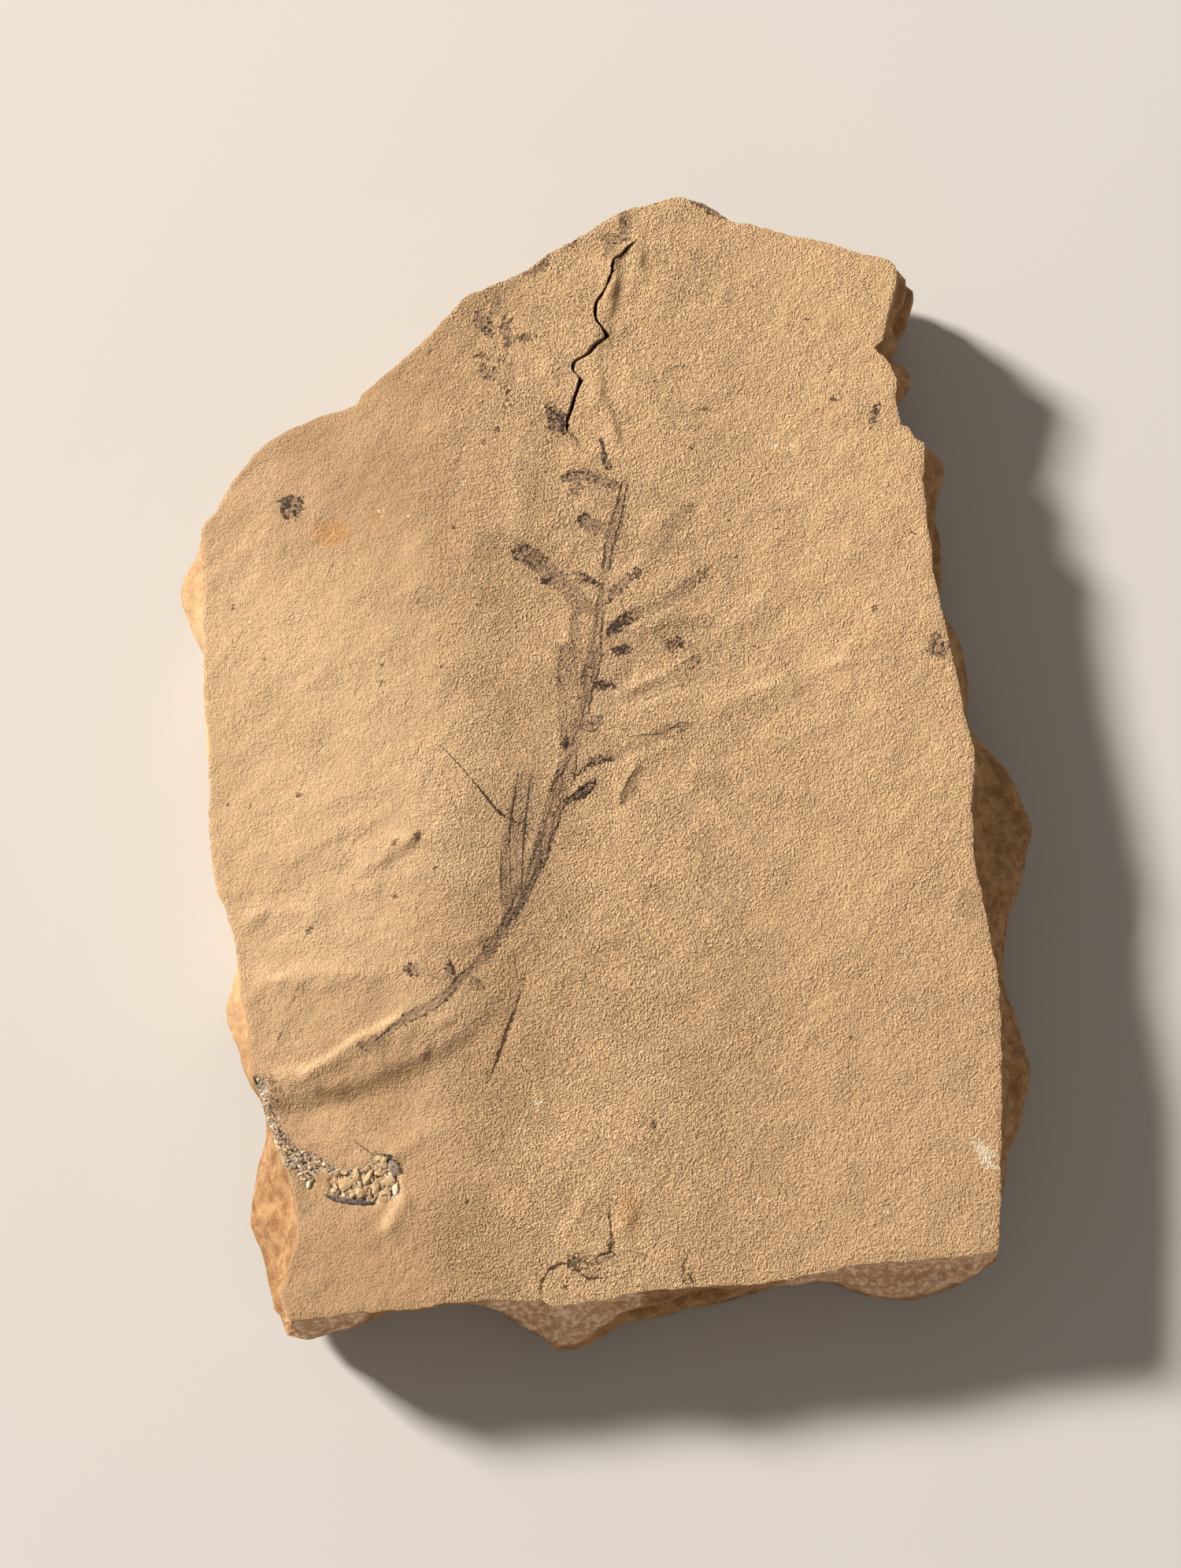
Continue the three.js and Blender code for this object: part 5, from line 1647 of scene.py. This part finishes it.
@dataclass(frozen=True)
class WallFinish:
    """The broken walls and the back: thin beds, crushed pale strokes under the arris and pale specks.

    Light is painted on them too: paler walls on the left, warm bounce light on the crushed stretches and a
    highlight along the rim.
    """

    stone: str = "b68f64"
    # pale cream that paints sunlight on the left walls
    painted_sunlight: str = "edcb9f"
    deep: str = "8f6642"
    seam: str = "5f4026"
    # pinkish pale base of the crushed stretches, partly painted warm bounce light
    crushed_bounce_lit: str = "d6a47e"
    crushed: str = "f6d9b8"
    white: str = "efe2c8"
    grain_depth: float = 0.12
    roughness: float = 0.94
    specular: float = 0.2

    def build(self) -> Material:
        """The walls' material."""
        web = Web("shale_broken")
        at = web.position()
        depth = web.field("down")
        thin = web.add("Mapping", {"Vector": at, "Scale": (0.35, 0.35, 3.4)}).outputs[0]
        lamina = web.noise(thin, 1.0, 4.0, 0.65, 2.0)
        blot = web.noise(at, 0.8, 4.0, 0.7, 6.0)
        grit = web.noise(at, 4.0, 3.0, 0.7, 4.0)
        colour = web.mix(web.rise(blot, 0.35, 0.65), self.deep, self.stone)
        # Painted light: the walls on the left turn pale cream where the painted pool of light lies.
        colour = web.mix(web.times(web.field("painted_light_and_wear"), 1.1), colour, self.painted_sunlight)
        colour = web.mix(web.rise(lamina, 0.3, 0.42, 0.3, 0.0), colour, self.seam)
        flat = web.add("Mapping", {"Vector": at, "Scale": (1.5, 1.5, 1.1)}).outputs[0]
        stroke = web.rise(web.noise(flat, 1.0, 5.0, 0.8, 4.0), 0.46, 0.6)
        # Crushed stretches of the lower wall: a pinkish pale base that is partly the crushed stone and partly
        # painted warm bounce light, with white strokes of crushed stone.
        crush_and_bounce_light = web.times(web.rise(depth, 2.4, 8.0, 1, 0), web.field("crush_and_bounce_light"))
        crush_and_bounce_light = web.rise(web.scaled(blot, 0.6, crush_and_bounce_light), 0.45, 0.75)
        colour = web.mix(web.times(crush_and_bounce_light, 0.7), colour, self.crushed_bounce_lit)
        colour = web.mix(web.times(stroke, crush_and_bounce_light), colour, self.crushed)
        colour = web.mix(web.rise(grit, 0.64, 0.72, 0.0, 0.25), colour, self.white)
        # A pale band just under the rim all round: crushed stone at the arris, and partly a painted highlight where
        # the edge catches the light.
        arris = web.times(web.rise(depth, 0.05, 0.4, 0.9, 0.0), web.rise(blot, 0.3, 0.5))
        arris = web.times(arris, web.rise(web.field("crush_and_bounce_light"), 0.0, 0.5, 0.25, 1.0))
        colour = web.mix(arris, colour, self.crushed)
        colour = web.shade(colour, web.rise(grit, 0.3, 0.7, 0.9, 1.08))
        coarse = web.scaled(crush_and_bounce_light, 2.0, 0.5)
        height = web.scaled(blot, coarse, web.times(lamina, 0.6))
        height = web.scaled(grit, 0.5, height)
        return web.finish(colour, self.roughness, web.bump(height, self.grain_depth), self.specular)


@dataclass(frozen=True)
class ShellFinish:
    """Crushed shell: the `shade` of each chip runs from black and mauve through tan to white."""

    tones: tuple[tuple[float, str], ...] = (
        (0, "3a3230"), (0.2, "7f6c62"), (0.36, "a38d78"), (0.55, "bd9a70"), (0.75, "cbac80"), (1, "e9dcc2"),
    )
    grain_depth: float = 0.09
    roughness: float = 0.55
    specular: float = 0.4

    def build(self) -> Material:
        """The chips' material."""
        web = Web("shell")
        at = web.position()
        mottle = web.rise(web.noise(at, 4.2, 3.0, 0.75), 0.2, 0.8, -0.22, 0.22)
        shade = web.plus(web.field("shade"), mottle)
        ramp = web.add("ValToRGB", {0: shade})
        stops = ramp.color_ramp.elements
        while len(stops) < len(self.tones):
            stops.new(0.5)
        for stop, (place, tone) in zip(stops, self.tones):
            stop.position = place
            stop.color = linear(tone)
        bump = web.bump(web.noise(at, 3.6, 3.0, 0.7, 4.0), self.grain_depth)
        return web.finish(ramp.outputs[0], self.roughness, bump, self.specular)


# ---- The crushed shell ----


@dataclass(frozen=True)
class Chip:
    """One chip: its middle in plan, half sizes, turn in degrees, shade and how far it stands up, in mm."""

    at: Point
    half: Triple
    turn: float
    shade: float
    lift: float


@dataclass(frozen=True)
class Litter:
    """How chips fall on a part of the pit: their least and largest size, and the chance of each shade."""

    sizes: Point
    chances: tuple[float, ...]


@dataclass
class ShellRubble:
    """Chips of crushed shell bedded in the pit, each a ball cut by chance planes.

    The pairs `cut`, `stretch`, `flatness` and `stands` are the least and the most that chance may give: how
    near a plane cuts, how long and how thick a scattered chip is for its size, and how far it stands up.
    """

    slab: Slab
    rings: int = 7
    spokes: int = 12
    planes: int = 9
    cut: Point = (0.45, 1.0)
    steepest: float = 0.05
    largest: float = 1.15
    scatter: int = 560
    stretch: Point = (0.5, 1.6)
    flatness: Point = (0.25, 0.45)
    stands: Point = (0.03, 0.12)
    across: Point = (-26.4, -14.6)
    up: Point = (-33.3, -23.4)
    shades: tuple[float, ...] = (0.08, 0.22, 0.34, 0.5, 0.62, 0.76, 0.95)
    band: Litter = Litter((0.05, 0.13), (0.02, 0.1, 0.24, 0.26, 0.2, 0.1, 0.08))
    cluster: Litter = Litter((0.1, 0.24), (0.05, 0.08, 0.12, 0.2, 0.38, 0.12, 0.05))
    cluster_from: float = -20.5
    cluster_share: float = 0.45
    rim_clear: float = 0.15
    pit_clear: float = 0.1
    sink: float = 0.1
    sharp_angle: float = 22.0
    chips: tuple[Chip, ...] = table(
        Chip,
        ((-19.1, -31.7), (0.85, 0.75, 0.2), 20, 0.66, 0.2),
        ((-17.8, -32.45), (0.5, 0.4, 0.22), 70, 0.72, 0.2),
        ((-16.6, -32), (0.34, 0.78, 0.22), -8, 0.56, 0.18),
        ((-15.1, -32.2), (0.42, 0.44, 0.26), 40, 0.95, 0.14),
        ((-15.7, -31.5), (0.6, 0.42, 0.2), 10, 0.72, 0.18),
        ((-15.35, -30.5), (0.4, 0.6, 0.12), 32, 0.24, 0.16),
        ((-16.4, -30.9), (0.42, 0.3, 0.16), 15, 0.62, 0.16),
        ((-19.9, -32.2), (0.3, 0.36, 0.14), 15, 0.62, 0.12),
        ((-18.5, -32.6), (0.3, 0.2, 0.14), 0, 0.6, 0.14),
        ((-17.9, -31.8), (0.14, 0.34, 0.16), 10, 0.5, 0.18),
        ((-17, -31.4), (0.14, 0.42, 0.16), 5, 0.42, 0.18), ((-19, -30.7), (0.4, 0.2, 0.12), 5, 0.36, 0.14),
        ((-17.4, -30.5), (0.3, 0.2, 0.14), -10, 0.6, 0.16),
        ((-21.9, -31.7), (0.2, 0.34, 0.12), -20, 0.95, 0.14),
        ((-22.3, -31.3), (0.26, 0.16, 0.12), 30, 0.8, 0.14),
        ((-22.6, -30.9), (0.24, 0.12, 0.12), 10, 0.95, 0.14),
        ((-22.2, -30.8), (0.2, 0.12, 0.12), 50, 0.68, 0.14),
        ((-21.8, -31.2), (0.16, 0.14, 0.12), 0, 0.5, 0.14),
        ((-17.35, -31.2), (0.32, 0.7, 0.22), -30, 0.6, 0.18),
        ((-18.2, -31), (0.4, 0.5, 0.2), 15, 0.66, 0.18), ((-16.1, -32.95), (0.6, 0.24, 0.2), -8, 0.62, 0.14),
        ((-17.1, -32.5), (0.16, 0.5, 0.2), 12, 0.58, 0.2),
    )
    arc_shade: float = 0.06
    arc_stands: float = 0.2
    arc_bulge: float = 0.1
    arc_full: float = 0.12  # the half width at which it bulges in full
    arc: tuple[Triple, ...] = (  # plan point and half width of the dark edge
        (-20.8, -32.5, 0.02), (-20.4, -32.68, 0.12), (-19.6, -32.93, 0.2), (-18.7, -33.1, 0.22),
        (-17.9, -33.2, 0.2), (-17.2, -33.2, 0.15), (-16.7, -33.15, 0.04),
    )

    def bed_height(self, x: Array, y: Array) -> Array:
        """Height of the pit's floor, in mm."""
        return self.slab.thickness + self.slab.face_form(x, y) - self.slab.pit_depth

    def scattered(self) -> list[Chip]:
        """Chips dropped in the pit by chance: small in the band on the left, larger in the cluster."""
        pick = np.random.default_rng(14)
        found: list[Chip] = []
        while len(found) < self.scatter:
            x, y = pick.uniform(*self.across), pick.uniform(*self.up)
            part = self.cluster if x > self.cluster_from else self.band
            bare = part is self.cluster and pick.uniform() > self.cluster_share
            if bare or x < np.interp(y, *self.slab.left_edge_by_height()) + self.rim_clear:
                continue
            if float(self.slab.pit(np.array([x]), np.array([y]))[0]) > -self.pit_clear:
                continue
            size = pick.uniform(*part.sizes)
            half = (*(size * pick.uniform(*self.stretch, 2)), size * pick.uniform(*self.flatness))
            shade = float(pick.choice(self.shades, p=part.chances))
            found.append(Chip((x, y), half, pick.uniform(0, 180), shade, pick.uniform(*self.stands)))
        return found

    def chip_points(self, chip: Chip, number: int) -> Array:
        """A chip's points: in each direction of a ball's grid, the nearest of the chip's cutting planes."""
        pick = np.random.default_rng(100 + number)
        polar = np.linspace(0, np.pi, self.rings)[:, None]
        turn = (np.arange(self.spokes) * 2 * np.pi / self.spokes)[None]
        flat = np.sin(polar)
        aim = np.stack([flat * np.cos(turn), flat * np.sin(turn), np.cos(polar) + 0 * turn], -1)
        normals = pick.normal(size=(self.planes, 3))
        normals /= np.linalg.norm(normals, axis=1)[:, None]
        reach = pick.uniform(*self.cut, self.planes) / np.maximum(aim @ normals.T, self.steepest)
        ball = aim * np.minimum(reach.min(axis=-1), self.largest)[..., None] * np.asarray(chip.half)
        x, y = turned(ball[..., 0], ball[..., 1], -math.radians(chip.turn))
        foot = self.bed_height(np.array([chip.at[0]]), np.array([chip.at[1]]))[0]
        z = ball[..., 2] + foot + chip.lift - self.sink * chip.half[2]
        return np.stack([x + chip.at[0], y + chip.at[1], z], -1)

    def tube(self) -> Array:
        """The dark curved edge: an oval section carried along the arc."""
        line = through(self.arc, 6)
        run = np.gradient(line[:, :2], axis=0)
        run /= np.hypot(*run.T)[:, None]
        turn = -(np.arange(self.spokes) * 2 * np.pi / self.spokes)[None]
        side = np.stack([-run[:, 1], run[:, 0]], -1)[:, None] * (line[:, 2:, None] * np.cos(turn)[..., None])
        x, y = line[:, None, 0] + side[..., 0], line[:, None, 1] + side[..., 1]
        foot = self.bed_height(line[:, 0], line[:, 1])[:, None]
        bulge = self.arc_bulge * np.sin(turn) * smooth(line[:, 2:] / self.arc_full)
        return np.stack([x, y, foot + self.arc_stands + bulge], -1)

    def build(self, material: Material) -> Object:
        """All the chips and the dark edge as one piece."""
        every = [*self.chips, *self.scattered()]
        bodies = [(self.chip_points(chip, number), chip.shade) for number, chip in enumerate(every)]
        bodies.append((self.tube(), self.arc_shade))
        parts, shades, first = [], [], 0
        for rings, shade in bodies:
            parts.append(closed_body(rings, first))
            shades.append(np.full(len(parts[-1][0]), shade))
            first += len(shades[-1])
        points, quads, fans = (np.vstack(kind) for kind in zip(*parts))
        mesh = make_mesh("shell_rubble", to_frame(points), [quads, fans])
        add_field(mesh, "shade", np.concatenate(shades))
        mesh.set_sharp_from_angle(angle=math.radians(self.sharp_angle))
        return add_object("shell_rubble", mesh, material)


def to_frame(points: Array) -> Array:
    """Plan points in mm as frame points in metres."""
    return (points - np.array([*PLAN_CENTRE, 0.0])) * MM


# ---- The studio ----


@dataclass(frozen=True)
class Lamp:
    """A square area light: the direction to it, its distance and side in metres, its watts and its colour."""

    name: str
    aim: Triple
    distance: float
    side: float
    power: float
    colour: str


@dataclass
class Studio:
    """A pale floor, a hard key light from the upper left, a soft fill, a dim sky and the camera."""

    floor_side: float = 3.0
    floor_colour: str = "c8c5c0"
    floor_roughness: float = 0.9
    floor_specular: float = 0.1
    lamps: tuple[Lamp, ...] = (
        Lamp("key", (-0.70, 0.42, 0.56), 1.6, 0.24, 49.0, "fffaf2"),
        Lamp("fill", (0.55, -0.7, 0.75), 0.9, 0.9, 0.9, "fff4ea"),
    )
    sky_colour: str = "f1e8dc"
    sky_strength: float = 0.22
    camera_distance: float = 0.3
    lens: float = 86.75
    target: Triple = (-PLAN_CENTRE[0] * MM, -PLAN_CENTRE[1] * MM, 0.012)
    tilt: Point = (2, 13)  # degrees to the right and down
    nearest: float = 0.01

    def build(self) -> None:
        """Lays the floor and hangs the lights and the camera."""
        self.floor()
        for lamp in self.lamps:
            self.light(lamp)
        world = bpy.data.worlds.new("sky")
        world.use_nodes = True
        background = world.node_tree.nodes["Background"]
        background.inputs[0].default_value = linear(self.sky_colour)
        background.inputs[1].default_value = self.sky_strength
        bpy.context.scene.world = world
        bpy.context.scene.view_settings.view_transform = "Standard"
        self.camera()

    def floor(self) -> None:
        """A large pale matt square under the slab."""
        half = self.floor_side / 2
        corners = np.array([(-half, -half, 0), (half, -half, 0), (half, half, 0), (-half, half, 0)])
        web = Web("floor")
        paint = web.add("RGB")
        paint.outputs[0].default_value = linear(self.floor_colour)
        material = web.finish(paint.outputs[0], self.floor_roughness, None, self.floor_specular)
        add_object("floor", make_mesh("floor", corners, [np.array([[0, 1, 2, 3]])]), material)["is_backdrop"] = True

    def light(self, lamp: Lamp) -> None:
        """Hangs an area light that looks at the middle of the picture."""
        light = bpy.data.lights.new(lamp.name, "AREA")
        light.size = lamp.side
        light.energy = lamp.power
        light.color = linear(lamp.colour)[:3]
        thing = bpy.data.objects.new(lamp.name, light)
        direction = Vector(lamp.aim).normalized()
        thing.location = Vector(self.target) + direction * lamp.distance
        thing.rotation_euler = direction.to_track_quat("Z", "Y").to_euler()
        bpy.context.scene.collection.objects.link(thing)

    def camera(self) -> None:
        """The camera, which looks down on the face from a little below its middle."""
        across, up = (math.tan(math.radians(part)) for part in self.tilt)
        back = Vector((across, -up, 1)).normalized()
        right = Vector((0, 1, 0)).cross(back).normalized()
        top = back.cross(right)
        place = Matrix((right, top, back)).transposed().to_4x4()
        place.translation = Vector(self.target) + back * self.camera_distance
        lens = bpy.data.cameras.new("camera")
        lens.lens = self.lens
        lens.clip_start = self.nearest
        thing = bpy.data.objects.new("camera", lens)
        thing.matrix_world = place
        bpy.context.scene.collection.objects.link(thing)
        bpy.context.scene.camera = thing


# ---- Putting it together ----


@dataclass
class Plate:
    """The whole fossil plate: the slab with its twig, and the crushed shell in its pit."""

    slab: Slab = field(default_factory=Slab)
    twig: Twig = field(default_factory=Twig)
    sharp_angle: float = 48.0

    def stone(self) -> Object:
        """The slab's surface, its face in one finish and its walls and back in another."""
        points, faces, fields = SlabMesh(self.slab, self.twig).vertices()
        mesh = make_mesh("slab", to_frame(points), faces)
        broken = np.arange(len(mesh.polygons)) >= self.slab.rows * self.slab.face_columns
        mesh.polygons.foreach_set("material_index", broken.astype(np.int32))
        for name, values in fields.items():
            add_field(mesh, name, values)
        mesh.set_sharp_from_angle(angle=math.radians(self.sharp_angle))
        return add_object("slab", mesh, ShaleFinish(len(self.twig.fibres)).build(), WallFinish().build())

    def shell(self) -> Object:
        """The crushed shell in its finish."""
        return ShellRubble(self.slab).build(ShellFinish().build())


def as_lists(box: object) -> object:
    """Vectors and tuples as plain lists."""
    if isinstance(box, (int, float)):
        return box
    return [as_lists(part) for part in box]


def main() -> None:
    """Builds the plate and the studio."""
    logging.basicConfig(level=logging.INFO, format="%(message)s")
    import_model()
    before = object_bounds()
    plate = Plate()
    stone = plate.stone()
    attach(stone, BODY)
    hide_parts(NODE)
    LOG.info("slab: %d faces", len(stone.data.polygons))
    shell = plate.shell()
    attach(shell, BODY)
    LOG.info("shell: %d faces", len(shell.data.polygons))
    Studio().build()
    LOG.info("studio")
    {"before": as_lists(before), "after": as_lists(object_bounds())}


if __name__ == "__main__":
    main()
